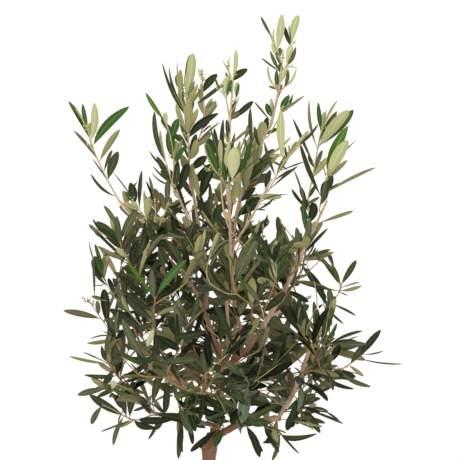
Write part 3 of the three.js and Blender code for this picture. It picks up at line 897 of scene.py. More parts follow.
# The shoots that the photograph shows best, placed by its pixels. Each has the depths of its foot and
# tip in millimetres behind the trunk's middle, its stems, and its leaves: kind, base, tip, the width
# that shows, and then how far it bows to its left and leans back, as shares of its length.
SHOWN = {
    "outer_left": ((-24, -36), [
        [(133, 214), (118, 199), (108.5, 182), (101, 167), (93, 149), (90, 139), (88, 128)],
    ], [
        ("G", 94, 147, 127.5, 108, 9.5, 0.08), ("N", 97, 160, 73.5, 130.5, 4, -0.03),
        ("O", 101, 161.5, 120, 129, 5.5, 0.02), ("K", 109, 180, 118, 151, 9, 0.03),
        ("G", 107.5, 182, 92, 158, 1.5), ("K", 115, 198, 89.5, 175, 3, 0.13),
        ("P", 91, 141, 94.5, 103, 8, -0.05), ("K", 90, 140, 68.5, 101, 4.5, -0.04, 0.1),
        ("P", 90, 142, 75, 108, 2.6, -0.02), ("G", 87.5, 128, 82.5, 103.5, 4.5, 0.03),
        ("O", 89.5, 137, 89.8, 122, 3.5), ("O", 128, 210, 123, 190, 5),
        ("M", 126, 208, 137, 181, 4, 0.05, 0.5), ("K", 103, 172, 112, 150, 4, 0, 0.9),
    ]),
    "top": ((17, 8), [
        [(270.5, 127), (274, 112), (278, 94), (280, 82), (281, 71), (282.5, 62), (283, 49)],
        [(278, 93), (276, 88)], [(279.5, 92), (283.5, 88)],
        [(281.5, 64), (280, 58), (277, 50), (274.5, 42), (273.5, 37)],
        [(281, 71), (287, 66), (289, 55), (291, 45)], [(266.5, 139), (272, 130), (278, 120), (281, 113)],
    ], [
        ("K", 274, 42, 260.5, 16, 3), ("P", 276, 50, 269.5, 32, 3), ("P", 279, 50, 282, 13.5, 8, -0.02),
        ("D", 290, 46, 284, 26, 4.5, 0.02, 0.2), ("P", 291.5, 45, 298, 15, 8, 0.04),
        ("C", 287, 66, 291, 44, 7), ("M", 288, 66, 295.5, 48, 4.5, -0.1),
        ("P", 277, 62, 271.5, 43, 4.5, 0.04), ("K", 277, 72, 261, 58, 2.6),
        ("P", 275.5, 88, 267.5, 66, 3, 0.12), ("M", 279.5, 66, 276, 52, 4.5),
        ("M", 277, 72, 270, 51, 4, 0.05), ("M", 281, 57, 280, 47, 4.5), ("K", 280, 74, 280, 62.5, 5),
        ("K", 279, 90, 276.5, 70, 4.5, 0.05), ("C", 281, 85, 286.5, 67, 5, 0, -0.2),
        ("M", 283.5, 87, 288, 70, 4.5, -0.1), ("P", 284, 88, 297, 68, 2.8, -0.12),
        ("K", 287, 70, 296.5, 67.5, 1.2, 0.1), ("N", 276, 90, 268, 86, 2.2), ("P", 278, 92, 276.5, 80, 3),
        ("P", 273.5, 38, 274, 28, 1.8), ("N", 291, 45, 288.5, 25, 1.3),
        ("G", 273, 118, 266, 103.5, 6, 0.05), ("P", 273, 117, 271, 98, 4),
        ("K", 274, 114, 271.5, 103, 3, 0, 0.2), ("G", 281.5, 112, 289, 95, 6.5, 0.06),
        ("G", 282, 112, 292.5, 95.5, 4, -0.1, 0.3), ("P", 282, 113, 290, 102, 6),
        ("O", 282, 113, 305, 95.5, 3), ("S", 279, 88, 283, 66, 4, 0, 0.9),
        ("M", 276, 104, 282, 84, 4, 0, 0.9), ("N", 271, 122, 254, 101.5, 1.8),
    ]),
    "inner_right": ((-74, -98), [[(268, 192), (281, 167), (290, 154), (298, 146)]], [
        ("K", 298, 146, 318.5, 124, 3.5, -0.03), ("P", 298, 146, 309, 130, 4, 0.03),
        ("P", 284, 163, 281, 110, 8, 0.03), ("K", 286, 159, 285, 146, 2.5),
        ("O", 288, 156, 288.5, 145, 2.5, -0.1), ("O", 292, 152, 296, 142, 3.5, 0.1),
        ("K", 279, 172, 304, 162, 1.6), ("K", 276, 181, 294, 169, 3), ("K", 277, 177, 264, 142, 4, 0.03),
        ("K", 270, 190, 298, 166, 2), ("D", 268, 194, 270, 170, 6, 0.05),
        ("M", 275, 178, 290, 150, 5, 0, 0.8), ("S", 288, 157, 302, 140, 4, 0, 0.9),
    ]),
    "top_right": ((40, 56), [
        [(306, 209), (308.5, 196), (312, 180), (315, 163), (317.5, 150), (320, 136), (322.5, 129)],
    ], [
        ("O", 317.3, 148, 308.5, 99.5, 2.6, 0.08), ("G", 320.5, 131, 318, 102, 5, 0.02),
        ("P", 321.5, 134, 324.5, 111.5, 6), ("P", 323, 129, 326.5, 108, 1.3),
        ("P", 322.5, 130, 337.5, 100, 3, 0.03), ("P", 319, 149, 349, 110, 11, 0.03),
        ("G", 319, 148, 353.5, 110, 8.5, -0.03, 0.3), ("M", 320, 142, 337, 111, 7, 0, 0.35),
        ("S", 313, 178, 328, 157, 6.5, 0, 0.2), ("K", 315, 166, 292.5, 118.5, 3.4, 0.03),
        ("K", 314, 168, 308, 154.5, 4), ("N", 308, 204, 320, 197, 3.5), ("O", 306, 207, 294, 170, 2),
        ("K", 306.5, 212, 291.5, 189, 3.5, 0.03), ("D", 305, 212, 303, 197.5, 6),
        ("D", 307, 216, 317, 204, 9), ("M", 313, 176, 322, 150, 4, 0, 0.9),
        ("D", 307, 206, 300, 186, 5, 0, 0.4), ("K", 308, 200, 316, 184, 4, 0, 0.5),
    ]),
    "outer_right": ((-36, -14), [[(319, 212), (321.5, 198), (324, 188), (327, 178)]], [
        ("B", 326.5, 177, 347.5, 126.5, 11, 0.05, 0.4), ("P", 327, 179, 348, 140, 12, 0.03, 0.1),
        ("O", 326, 181, 347.5, 160, 4.5, 0, 0.3), ("G", 326, 181, 344, 155, 3, 0, 0.4),
        ("S", 325.5, 180, 318, 158, 1.5, -0.05), ("K", 326, 180, 357, 139, 2.4, 0.04, 0.5),
        ("O", 322.5, 195, 376, 167.5, 3.4, 0.01), ("K", 323, 193, 341, 183, 3),
        ("D", 321.5, 200, 325, 181, 6, 0, 0.2), ("D", 321, 204, 333, 175.5, 7, 0, 0.3),
        ("K", 321, 206, 328.5, 191, 4.5), ("D", 321.3, 198, 299.5, 143, 5.5, 0.04),
        ("M", 320, 205, 326, 180, 4, 0, -0.8),
    ]),
    "top_left": ((40, 54), [
        [(190, 189), (189, 164), (188.5, 138), (187, 118), (186, 100), (186, 90)],
        [(187, 116), (181, 102), (178.5, 88)], [(189, 156), (200, 136), (205, 118), (202.5, 92), (202, 79)],
    ], [
        ("P", 188, 99, 193, 53, 9.5, -0.02, -0.1), ("G", 186.5, 99, 191, 54, 8, 0, 0.1),
        ("S", 188.5, 138, 189, 98, 9, 0, -0.15), ("K", 187, 117, 161.5, 63, 4.5, 0.06, -0.1),
        ("P", 186, 114, 166, 78, 3, 0.05), ("S", 188, 135, 176, 104, 5.5, 0.04),
        ("O", 178.5, 90, 177, 74, 6, 0, 0.2), ("S", 182, 104, 180.5, 69, 5), ("P", 181, 100, 177, 61, 2),
        ("G", 182.5, 104, 182, 86, 4.5), ("P", 186.5, 94, 185, 74, 3.5),
        ("D", 190, 139, 216.5, 114.5, 9, 0.1, -0.2), ("O", 203, 124, 215.5, 101, 8.5, 0.05, 0.1),
        ("D", 204, 120, 217.5, 104.5, 3, 0, 0.2), ("S", 190, 112, 198, 84, 5, 0.04),
        ("O", 204, 109, 213, 98, 3), ("O", 203, 98, 201, 83, 3), ("D", 203.5, 94, 216.5, 74, 8.5, 0.06),
        ("S", 189, 161, 197, 141, 9, -0.08, -0.2), ("O", 189.3, 178, 181.5, 154, 8, 0, -0.2),
        ("K", 188.5, 150, 160.5, 119.5, 4.5), ("O", 197, 142, 220, 122, 2), ("O", 198, 151, 212, 132, 7),
        ("K", 201, 134, 211, 125, 2), ("S", 190, 187, 192.5, 163, 6, 0, -0.3), ("D", 189, 170, 207, 156, 9),
        ("D", 190, 186, 214, 163, 9, 0, 0.2), ("G", 188, 126, 194, 100, 5, 0, 0.8),
        ("M", 189, 146, 181, 120, 6, 0, 0.8), ("S", 204, 112, 198, 88, 5, 0, 0.9),
        ("K", 189, 160, 196, 134, 6, 0, 0.9), ("S", 187, 112, 178, 88, 5, 0, 0.9),
        ("M", 202, 128, 210, 104, 6, 0, 0.9), ("S", 191, 132, 198, 108, 6),
        ("K", 180, 118, 170, 88, 3, 0.05), ("P", 184, 110, 178, 92, 3),
        ("D", 203, 130, 211, 118, 3, 0, 0.3), ("G", 189, 160, 184, 146, 3),
        ("M", 189, 150, 178, 134, 5, 0, 0.3), ("O", 205, 116, 198, 100, 4), ("S", 191, 110, 205, 86, 4),
        ("O", 189, 104, 195, 80, 4), ("M", 184, 112, 168.5, 66, 4, 0.07),
    ]),
    "left_shoot": ((-2, -8), [
        [(176, 197), (172, 184), (166.5, 164)],
        [(172, 184), (174, 165), (173, 150), (170, 134), (165, 121)],
    ], [
        ("B", 165, 121, 145.5, 92.5, 4.4, 0.04), ("K", 166.5, 164, 154, 112, 5.5, 0.07),
        ("G", 173, 160, 168, 130, 6.5, 0.05), ("G", 172, 140, 178, 118, 8), ("P", 167, 128, 163, 112, 2.6),
        ("P", 168, 166, 160, 129, 3, 0.04), ("D", 173, 182, 156.5, 156, 6),
        ("K", 168, 170, 148.5, 151, 2.2, 0.12), ("K", 171, 184, 152.5, 166, 2, 0.06),
        ("N", 170, 185, 151, 174, 2.2, 0.17), ("K", 173, 160, 166, 143, 3), ("O", 174, 160, 178, 142, 3),
        ("G", 174, 168, 186, 145, 3), ("M", 172, 186, 163, 168, 5, 0, 0.8),
        ("S", 174, 164, 182, 140, 5, 0, 0.9), ("M", 170, 136, 160, 114, 4, 0, 0.9),
        ("G", 174, 152, 171, 127, 6), ("P", 166, 126, 166, 111, 3), ("S", 174, 164, 176, 140, 6, 0, 0.2),
        ("G", 175, 162, 184, 146, 3.5), ("K", 175, 192, 178, 160, 7), ("K", 171, 178, 157, 157, 5.5),
        ("K", 171, 186, 160, 170, 4),
    ]),
    "top_centre": ((-38, -50), [
        [(229, 150), (230, 118), (232, 95), (233, 80)], [(229.5, 119), (226, 97), (220, 90)],
        [(231.5, 102), (236, 99)], [(232.5, 86), (229.5, 76), (228, 66)],
    ], [
        ("P", 233.5, 80, 236, 50, 4.5, -0.05), ("P", 233, 80, 222, 60, 1.3),
        ("D", 233.5, 81, 246.5, 69, 8, 0.09), ("P", 226, 96, 227.5, 75.5, 7.5, 0.05),
        ("K", 227, 98, 231.5, 79, 3.5), ("P", 236, 99, 237.5, 81.5, 5.5), ("G", 236, 99, 239, 83, 3),
        ("P", 230.5, 112, 240, 95, 1.2, -0.1), ("D", 230.2, 120, 253.5, 101, 6, -0.01),
        ("N", 230.2, 119, 241, 111, 6), ("K", 220.5, 90.5, 214.5, 76.5, 2),
        ("K", 229.5, 143, 226.5, 119, 4.5), ("P", 229.3, 144, 224, 132, 3),
        ("O", 229.2, 146, 250, 128, 2.6), ("M", 230, 124, 236, 100, 5, 0, 0.8),
        ("G", 232, 96, 226, 72, 4, 0, 0.9), ("D", 231, 79, 197, 104, 4.5, 0, 0.1),
    ]),
    "centre_whorl": ((-30, -44), [
        [(228, 205), (226.5, 184), (221, 177)], [(227, 186), (233, 180), (240, 174)],
    ], [
        ("G", 221, 177, 206, 141, 7), ("P", 221, 177, 204, 142, 3, 0.06, -0.1),
        ("P", 221.5, 178, 220.5, 139, 5), ("P", 222.5, 179, 229.5, 142, 5.5, -0.03),
        ("K", 223, 180, 227, 150, 4, 0, 0.2), ("G", 226.5, 183, 234.5, 134, 2.5, 0, 0.2),
        ("C", 232, 181, 235, 146.5, 13, 0, -0.2), ("G", 239, 175, 251, 140, 5),
        ("B", 238, 176, 258, 155, 1.8), ("G", 226.5, 186, 222, 160, 5, 0, -0.9),
        ("K", 224, 180, 210, 124, 2), ("D", 222, 178, 214, 128, 5, 0, 0.4),
        ("G", 227, 184, 235, 132, 3.5, 0, 0.3), ("D", 226, 184, 223, 119, 5, 0.03, 0.4),
        ("S", 234, 180, 240, 140, 5, 0.04, 0.3), ("N", 223, 180, 205, 150, 4, 0, 0.4),
        ("M", 228, 186, 244, 158, 6, 0, 0.4),
    ]),
    "left_upper": ((-14, -22), [[(137, 278), (129, 262), (122, 249), (120, 241)]], [
        ("K", 119, 246, 97, 221.5, 7, -0.06, -0.1), ("K", 129, 264, 94, 231, 3.5, 0.02),
        ("K", 133, 280, 121, 266, 4), ("M", 120, 247, 116.5, 215.5, 7, 0.03, -0.2),
        ("S", 120, 242, 110, 219, 5, 0, 0.2), ("M", 120.5, 242, 137, 209, 7, 0.06),
        ("N", 120, 241, 104, 205.5, 5, -0.06, 0.2), ("K", 121, 243, 119, 221, 2.5, 0, 0.3),
        ("C", 127, 257, 116, 248, 6, 0, -0.3), ("D", 130, 266, 138, 240, 7, 0.05),
        ("D", 120, 253, 102, 228, 7), ("O", 128, 261, 97, 246, 4.5, 0.05),
    ]),
    "left_star": ((-10, -18), [
        [(129, 314), (118, 300), (108, 287), (104.5, 279)], [(116, 298), (106, 301), (94, 298)],
    ], [
        ("G", 104.5, 279, 94.5, 255.5, 6), ("D", 105, 281, 92.5, 258, 5, 0.05, 0.2),
        ("K", 106, 284, 93, 286, 1.3, 0.1), ("M", 104.5, 279, 95, 243.5, 5, -0.02),
        ("N", 104.5, 279, 88.5, 240.5, 1.5, 0.05), ("O", 105, 279, 110, 259, 3.5, 0.1),
        ("S", 104.5, 279, 104, 255, 6, 0, 0.3), ("B", 106, 301, 91, 296, 4),
        ("K", 94, 298, 93, 255, 2.6, -0.04), ("N", 112, 292, 125, 265, 1.4),
        ("D", 118, 300, 108, 278, 5, 0, 0.4), ("K", 106, 286, 92, 262, 5, 0.1),
    ]),
    "left_tip": ((-8, -20), [[(122, 345), (112, 333), (103, 321), (93, 307), (89, 302)]], [
        ("N", 101, 319, 63, 310.5, 6.5, -0.01), ("D", 108, 328, 104, 288.5, 9.5, 0, -0.1),
        ("N", 99, 315, 97, 300, 5), ("N", 103, 321, 114, 319, 5, 0.1), ("M", 104, 323, 119, 282, 2.6),
        ("O", 114, 336, 119, 311, 5.5), ("M", 121, 343, 139, 350, 5), ("O", 115, 339, 87, 343.5, 4.5, 0.05),
        ("N", 115, 337, 89, 339, 1.6, -0.1),
    ]),
    "left_mid": ((0, -10), [
        [(135, 396), (119, 378), (111, 367), (107, 361)], [(126, 386), (118, 390), (110, 390), (105, 388)],
    ], [
        ("M", 107, 362, 112, 327, 6, 0.08), ("K", 107, 362, 101.5, 346, 5, 0.08),
        ("N", 108, 363, 82.5, 352, 1.6), ("O", 108.5, 364, 68.5, 356.5, 3.6, 0.04),
        ("N", 113, 370, 116, 336, 8, 0, 0.1), ("K", 116, 376, 84, 375, 4.4, 0.06),
        ("O", 107, 389, 91, 378, 6, -0.03), ("M", 106, 389, 77, 395, 6.5, -0.02),
        ("K", 116, 374, 119, 350, 6, 0, 0.2), ("G", 112, 390, 130, 396, 5, 0, -0.3),
        ("C", 108, 389, 116, 381, 7, 0, -0.4), ("O", 116, 374, 98, 363, 5),
        ("K", 117, 390, 97, 397, 5, -0.05), ("K", 119, 377, 144, 367, 4.5, -0.04),
        ("D", 117, 375, 120, 357, 6, 0, 0.3), ("K", 122, 382, 134, 392, 5), ("O", 126, 387, 117, 396, 4.5),
        ("K", 113, 370, 103, 386, 7, 0.05),
    ]),
    "left_low": ((6, -4), [
        [(183, 419), (166, 415), (151, 415), (140, 420), (132, 420), (123, 415)],
        [(155, 415), (153, 405), (150, 402)], [(123, 415), (112, 409), (103, 405)],
    ], [
        ("K", 125, 416, 89, 394.5, 8.5, 0.02), ("M", 103, 406, 91, 424, 6, -0.05),
        ("N", 131, 420, 100.5, 432, 1.8), ("O", 135, 421, 117, 427.5, 4),
        ("M", 124, 415, 113, 445, 4.5, -0.06), ("K", 130, 419, 133, 380, 9, 0, -0.1),
        ("D", 134, 420, 153.5, 428, 8, -0.12), ("K", 160, 416, 148.5, 440, 3.2, 0.06),
        ("D", 178, 419, 139, 420, 8, 0.04, -0.2), ("K", 151, 404, 133, 411, 3),
        ("M", 152, 404, 160, 372, 8, 0, -0.2), ("K", 150, 403, 166, 413, 3),
        ("M", 150, 415, 142, 396, 6, 0, 0.8), ("K", 166, 416, 156, 430, 5, 0, 0.9),
        ("K", 127, 417, 122, 394, 6.5, 0.03), ("O", 166, 414, 154, 399, 5, 0.05),
    ]),
    "left_bottom": ((-8, -18), [[(186, 419), (181, 411), (179, 406)]], [
        ("K", 180, 409, 178.5, 459, 6.5, 0.04), ("D", 183, 414, 182.5, 453, 4.5, -0.04),
        ("O", 179.5, 407, 177.5, 434, 3, 0, -0.1), ("N", 182, 406, 190, 432, 8),
        ("D", 185, 418, 193, 444, 5.5, 0.05), ("K", 184, 416, 206, 428, 6, -0.05, -0.2),
        ("M", 182, 412, 213, 412, 8, 0.05, -0.3),
    ]),
    "bough_below": ((0, -14), [
        [(240, 424), (246, 425)], [(268, 420), (274, 424), (280, 434)], [(222, 429), (224, 425)],
    ], [
        ("G", 222.5, 428, 215, 447, 6.5, 0, -0.3), ("D", 246, 425, 260, 457, 8, 0.05),
        ("K", 246, 425, 262.5, 452, 6, -0.04, 0.1), ("D", 270, 421, 271, 441, 5, 0.06),
        ("D", 275, 427, 266, 441, 4, 0.1), ("K", 278, 432, 275, 446, 4), ("N", 279, 434, 272, 461, 4, 0.04),
        ("K", 280, 434, 309.5, 434, 7.5, -0.2), ("K", 277, 428, 299.5, 454, 3),
        ("G", 272, 423, 250, 423, 8, 0, -0.3), ("S", 270, 421, 278, 443, 6, 0, -0.2),
        ("D", 264, 424, 272, 440, 7), ("D", 279, 436, 265, 442, 7, 0.15),
    ]),
    "right_bottom": ((-14, -24), [[(284, 412), (296, 411), (306, 408)]], [
        ("O", 298, 411, 313, 429.5, 4, 0.05), ("K", 299, 411, 319.5, 431.5, 8.5, 0.09),
        ("K", 304, 409, 343.5, 424, 2.2), ("K", 305, 408, 328, 411.5, 5, 0.06),
        ("O", 306, 408, 317, 404, 4), ("M", 285, 409, 316, 394, 9, 0.03),
        ("D", 291, 412, 292, 428, 8, 0, 0.2), ("D", 292, 411, 287, 431, 7), ("K", 303, 409, 300, 388, 6),
        ("D", 294, 411, 298, 425, 5),
    ]),
    "right_low": ((-12, -4), [
        [(300, 382), (310, 352), (316, 345)], [(308, 358), (319, 349), (330, 344)],
        [(309, 355), (304, 350), (300, 345)],
        [(303, 373), (322, 372), (340, 370), (350, 364), (357, 359), (364, 353)],
    ], [
        ("D", 357, 359, 381, 329.5, 7, 0.01, -0.1), ("N", 363, 354, 383.5, 351.5, 1.8, -0.08),
        ("N", 358, 358, 402.5, 364.5, 1.9, -0.05), ("O", 349, 365, 364, 376.5, 4),
        ("D", 330, 372, 356, 377, 6.5, 0.03), ("M", 340, 372, 368.5, 386, 5.5, -0.11),
        ("D", 321, 376, 352, 389, 5, -0.12), ("N", 312, 374, 332.5, 388.5, 4, -0.06),
        ("N", 308, 373, 326, 398, 2), ("K", 328, 345, 357, 341, 5, 0.04), ("M", 326, 346, 367, 344, 7),
        ("K", 350, 363, 366, 343, 7), ("N", 329, 345, 353, 357, 4, -0.04),
        ("K", 328, 345, 363, 330.5, 2.8, 0.05), ("G", 320, 348, 337, 323, 4, -0.06),
        ("K", 322, 348, 335, 296, 10, 0.03, 0.2), ("G", 316, 345, 313.5, 301, 4.5),
        ("M", 316, 345, 317, 308, 7, 0, 0.1), ("S", 317, 345, 317.5, 323, 9, 0, -0.2),
        ("S", 309, 353, 305, 334, 9, 0, -0.2), ("M", 310, 352, 304, 309, 8, 0.02, 0.1),
        ("K", 303, 375, 331, 350, 9, 0, 0.1), ("S", 311, 352, 318, 366, 7, 0, -0.3),
        ("D", 318, 372, 332, 356, 7, 0, 0.4), ("M", 300, 345, 278, 320, 5.5, 0.04),
        ("K", 303, 349, 268, 330, 9, -0.05, 0.2),
    ]),
    "right_star": ((18, 26), [[(318, 324), (326, 309), (331, 302), (337, 296), (340, 291), (341, 285)]], [
        ("G", 341, 286, 322.5, 260, 4.5), ("G", 341, 285, 331.5, 264, 4.5),
        ("K", 341.5, 285, 356.5, 260, 6), ("O", 341, 288, 360, 282, 1.8),
        ("O", 340.5, 291, 361.5, 286, 4, -0.05), ("N", 340, 292, 348, 296, 1.2),
        ("N", 339, 291, 297, 282, 3.5, 0.04, 0.1), ("D", 326, 307, 304, 268, 8, -0.07),
        ("N", 331, 303, 356, 316, 2.8, 0.02), ("N", 327, 309, 344, 324.5, 2.6, -0.05),
    ]),
    "right_branch_tip": ((20, 30), [[(286, 284), (293, 269), (300, 258)]], [
        ("O", 299, 260, 334, 252.5, 5.5, -0.04), ("K", 299, 259, 331, 249.5, 2.6),
        ("K", 296, 264, 308, 265, 2), ("K", 300, 258, 316, 231, 6, 0.05),
        ("O", 300, 258, 322, 222, 8, 0.05, 0.2), ("K", 299, 260, 299, 238, 4), ("D", 298, 261, 301, 232, 4),
        ("S", 301, 256, 316, 221, 9, 0.04, -0.1), ("K", 300, 258, 328, 228, 4, 0.02),
        ("K", 297, 262, 278, 216, 3.5, 0.03), ("S", 296, 264, 281, 224, 4.5, 0.03),
        ("K", 292, 270, 276, 216, 2.4), ("K", 294, 266, 278, 231, 4.5), ("N", 288, 280, 307, 275, 3.5),
        ("O", 287, 283, 329, 288, 3.5, 0.06), ("M", 284, 302, 307, 301.5, 5), ("D", 284, 303, 309, 302, 6),
    ]),
    "front_left": ((-70, -120), [
        [(156, 340), (154, 322), (154, 311), (155, 299)], [(204, 392), (206, 382), (206, 374)],
        [(200, 386), (187, 391), (170, 381), (150, 368)],
    ], [
        ("B", 154.5, 298, 127, 262, 2.6), ("G", 155, 299, 186, 260, 8, 0.05),
        ("M", 155, 300, 151.5, 269, 7, 0.03), ("D", 154, 311, 126, 292, 7, 0.06),
        ("D", 154, 311, 117, 274, 5, -0.03), ("K", 155, 322, 137, 330, 6),
        ("M", 206, 374, 205, 348, 8, 0.08), ("G", 207, 375, 210.5, 349, 7, -0.08),
        ("K", 206, 380, 217, 384, 5, 0.05), ("K", 206, 376, 183, 356, 7),
        ("M", 150, 367, 122, 319, 8, 0.03), ("D", 150, 367, 136, 353, 3.5),
        ("K", 151, 366, 114, 349, 4.5, 0.04), ("M", 152, 368, 168, 376, 6),
        ("K", 168, 380, 150, 356, 8, 0.05), ("D", 182, 388, 160, 351, 4.5, -0.04),
        ("D", 164, 379, 165, 413, 7, 0.04), ("M", 188, 391, 193, 432, 10, 0, -0.2),
        ("K", 155, 320, 127, 298, 8, 0.04), ("O", 155, 318, 180, 308, 5, 0.1),
        ("C", 154, 327, 147, 347, 6, 0, -0.2), ("D", 155, 330, 157, 354, 6),
        ("D", 156, 335, 180, 350, 8, 0, 0.2), ("K", 186, 391, 218, 408, 5, -0.04),
        ("D", 190, 389, 230, 414, 5, 0.03),
    ]),
    "leader_leaves": ((8, 22), ["top_leader", "inner_right_limb", [(252, 168), (253, 158), (252, 150)]], [
        ("D", 270, 132, 267, 117, 6), ("S", 263, 146, 263, 121, 10, 0, -0.1), ("K", 268, 137, 279, 128, 4),
        ("S", 252, 166, 262, 145, 7.5, 0, -0.2), ("N", 258, 160, 275, 158, 3.5),
        ("K", 248, 188, 269, 159, 9.5, 0.06, -0.2), ("O", 246, 190, 242, 166, 4),
        ("N", 242, 196, 266, 177, 2.6), ("D", 240, 204, 256, 187, 6),
        ("D", 234, 216, 261, 198, 11, 0, -0.2), ("G", 237, 224, 246, 203, 2.6, 0, -0.4),
        ("K", 257, 211, 274, 199, 2.4, -0.08), ("N", 262, 203, 289, 194, 1.4, 0.1),
        ("N", 258, 212, 266, 210, 1.4), ("M", 262, 150, 254, 126, 5, 0, 0.6),
        ("G", 250, 178, 238, 156, 5, 0, 0.5), ("M", 252, 150, 250.5, 107, 4.5),
        ("S", 252, 156, 243, 138, 5, 0, 0.3),
    ]),
    "centre_leaves": ((-40, -30), ["centre_leader"], [
        ("S", 229, 207, 237, 180, 7.5, 0, -0.1), ("G", 230, 221, 232, 199, 3.6),
        ("C", 230, 223, 224, 211, 5.5), ("D", 231, 240, 269, 224.5, 6, 0.02), ("K", 231, 240, 249, 227, 3),
        ("N", 231, 236, 255, 220, 1.6), ("D", 231, 246, 222, 229, 5), ("K", 228, 206, 214, 188, 5, 0, 0.3),
        ("D", 230, 232, 218, 214, 6, 0, 0.5), ("K", 233, 276, 218, 250, 6, 0, 0.5),
    ]),
    "left_leaves": ((0, 20), [
        "left_stem", "left_shoot_limb", "left_leader", [(190, 212), (196, 205), (200, 198)],
        [(207, 262), (213, 245), (214, 228), (212, 216)], [(188, 262), (184, 250), (176, 240)],
    ], [
        ("S", 200, 199, 192, 168, 7), ("D", 199, 197, 213, 166, 10, 0.04),
        ("M", 198, 200, 213, 167, 3, 0, -0.3), ("D", 185, 192, 188, 163, 9, 0, 0.2),
        ("D", 189, 212, 170, 169, 5.5, 0.04), ("G", 200, 200, 210, 183, 3), ("M", 213, 222, 210, 183, 4.5),
        ("G", 213, 224, 222, 202, 5.5), ("M", 213, 228, 218, 203, 4, 0, 0.3), ("D", 213, 230, 198, 199, 7),
        ("M", 212, 236, 208, 210, 8), ("O", 212, 232, 225, 219, 5), ("S", 197, 234, 183, 216, 7.5, 0, -0.2),
        ("D", 202, 246, 183, 227, 6.5), ("M", 209, 281, 217, 250, 6, 0, -0.2),
        ("S", 205, 258, 190, 264, 8, 0, -0.4), ("M", 188, 262, 184, 234, 7, 0, 0.2),
        ("D", 176, 243, 173, 212, 8), ("N", 178, 240, 166, 219, 8, 0, 0.3), ("D", 181, 216, 168, 206, 5),
        ("D", 180, 250, 146, 243, 6, -0.04), ("S", 207, 260, 219, 245, 3.5),
        ("K", 189, 200, 180, 176, 6, 0, 0.5), ("G", 208, 250, 196, 232, 6, 0, 0.3),
    ]),
    "left_top": ((-20, -30), [
        [(156, 238), (150, 226), (145, 216), (139, 210), (136, 203)], [(152, 228), (156, 215), (155, 204)],
        [(156, 236), (161, 222), (166, 210), (168, 202)],
    ], [
        ("D", 136, 203, 130, 182, 8.5), ("G", 137, 208, 125, 191, 4), ("P", 138, 209, 131, 201, 4, 0, -0.3),
        ("K", 139, 209, 142, 170, 4.5), ("S", 139, 211, 123, 202, 4.5), ("P", 147, 218, 144, 190, 2.6),
        ("S", 146, 218, 149, 196, 8, 0, -0.2), ("N", 155, 206, 149, 176, 3), ("N", 135, 204, 113, 172, 2),
        ("D", 155, 204, 146, 181, 2.4), ("N", 156, 212, 155, 188, 11, 0, -0.1),
        ("N", 155, 217, 161, 197, 5), ("N", 165, 211, 160, 192, 6), ("M", 167, 206, 168, 179, 6),
        ("P", 165, 214, 168, 200, 2.5), ("M", 138, 209, 124, 236, 9.5, -0.05, -0.2),
        ("D", 146, 217, 166, 237, 5.5, 0.03, -0.3), ("N", 152, 228, 151, 206, 5),
        ("D", 147, 219, 158, 246, 6, 0, -0.2), ("N", 142, 214, 124, 249, 3.5),
        ("D", 146, 218, 143, 252, 4.5),
    ]),
    "front_right": ((-50, -90), [[(262, 316), (270, 296), (276, 280)], [(252, 322), (252, 305)]], [
        ("P", 277, 278, 276, 240, 8, 0.03), ("G", 277, 279, 288, 245, 4.5), ("S", 275, 282, 272, 261, 9),
        ("G", 274, 284, 255, 241, 6), ("K", 278, 279, 290, 262, 8, 0.05), ("S", 252, 305, 252, 277, 9),
        ("B", 251, 306, 229, 254, 4), ("K", 264, 312, 286, 292, 8, 0, -0.1),
        ("S", 262, 315, 247, 334, 7, 0, -0.2), ("K", 271, 292, 250, 225, 5, 0, 0.2),
        ("K", 264, 306, 249, 262, 5), ("S", 262, 314, 287, 290, 6.5, 0.04), ("K", 256, 306, 268, 280, 6),
        ("N", 275, 282, 263, 246, 1.6),
    ]),
    "right_upper_leaves": ((20, 40), ["upper_right_limb", "outer_right_limb"], [
        ("G", 309, 240, 303, 197, 6, 0.06), ("D", 309, 224, 316, 204, 9),
        ("M", 308, 222, 300, 206, 5, 0, 0.4), ("S", 300, 250, 292, 238, 5, 0, 0.4),
        ("O", 317, 223, 353.5, 211, 3),
    ]),
    "fork_leaves": ((-30, -40), ["centre_leader", "right_branch"], [
        ("M", 240, 317, 218, 338, 8), ("N", 262, 333, 288, 348, 2.6), ("K", 238, 308, 262, 313, 5),
        ("O", 249, 350, 256, 372, 6, 0, -0.3), ("K", 250, 348, 274, 352, 4),
    ]),
    "riser_leaves": ((-20, -26), ["right_riser", "right_bough"], [
        ("S", 264, 412, 263, 395, 5.5), ("M", 286, 402, 262, 404, 5), ("D", 283, 408, 270, 396, 7),
        ("K", 288, 398, 274, 387, 8), ("S", 267, 420, 266, 407, 6), ("D", 284, 409, 272, 411, 7),
        ("D", 305, 365, 320, 346, 7, 0, 0.4), ("K", 292, 394, 303, 378, 7, 0, 0.3),
        ("M", 290, 397, 263, 362, 9, -0.1), ("O", 293, 388, 266, 388, 7, 0.03),
        ("O", 278, 419, 273, 441, 6, 0, -0.2),
    ]),
}
# Each kind of posed leaf: the side that shows, and the tones of its upper side and underside
LEAF_LOOKS = {
    "D": ("upper", 1, 1), "K": ("upper", 2, 2), "L": ("upper", 4, 3), "M": ("upper", 3, 2),
    "G": ("upper", 4, 4), "B": ("upper", 5, 5), "N": ("under", 1, 0), "O": ("under", 2, 2),
    "S": ("under", 3, 3), "P": ("under", 4, 5), "C": ("under", 4, 6),
}
GREEN_HEIGHT = 0.80  # above this height a K leaf is an L leaf
POSED_WIDTHS = (5 * MM, 14 * MM)
LEAST_SHARE = 0.8  # of the usual width, however narrow a posed leaf looks
POSED_STEP = 2 * MM
LEANS = (-0.22, 0.12)  # of a posed leaf that has no lean of its own
POSED_SEED = SEED + 1000
POSED_SPREAD = 0.08  # of the bend


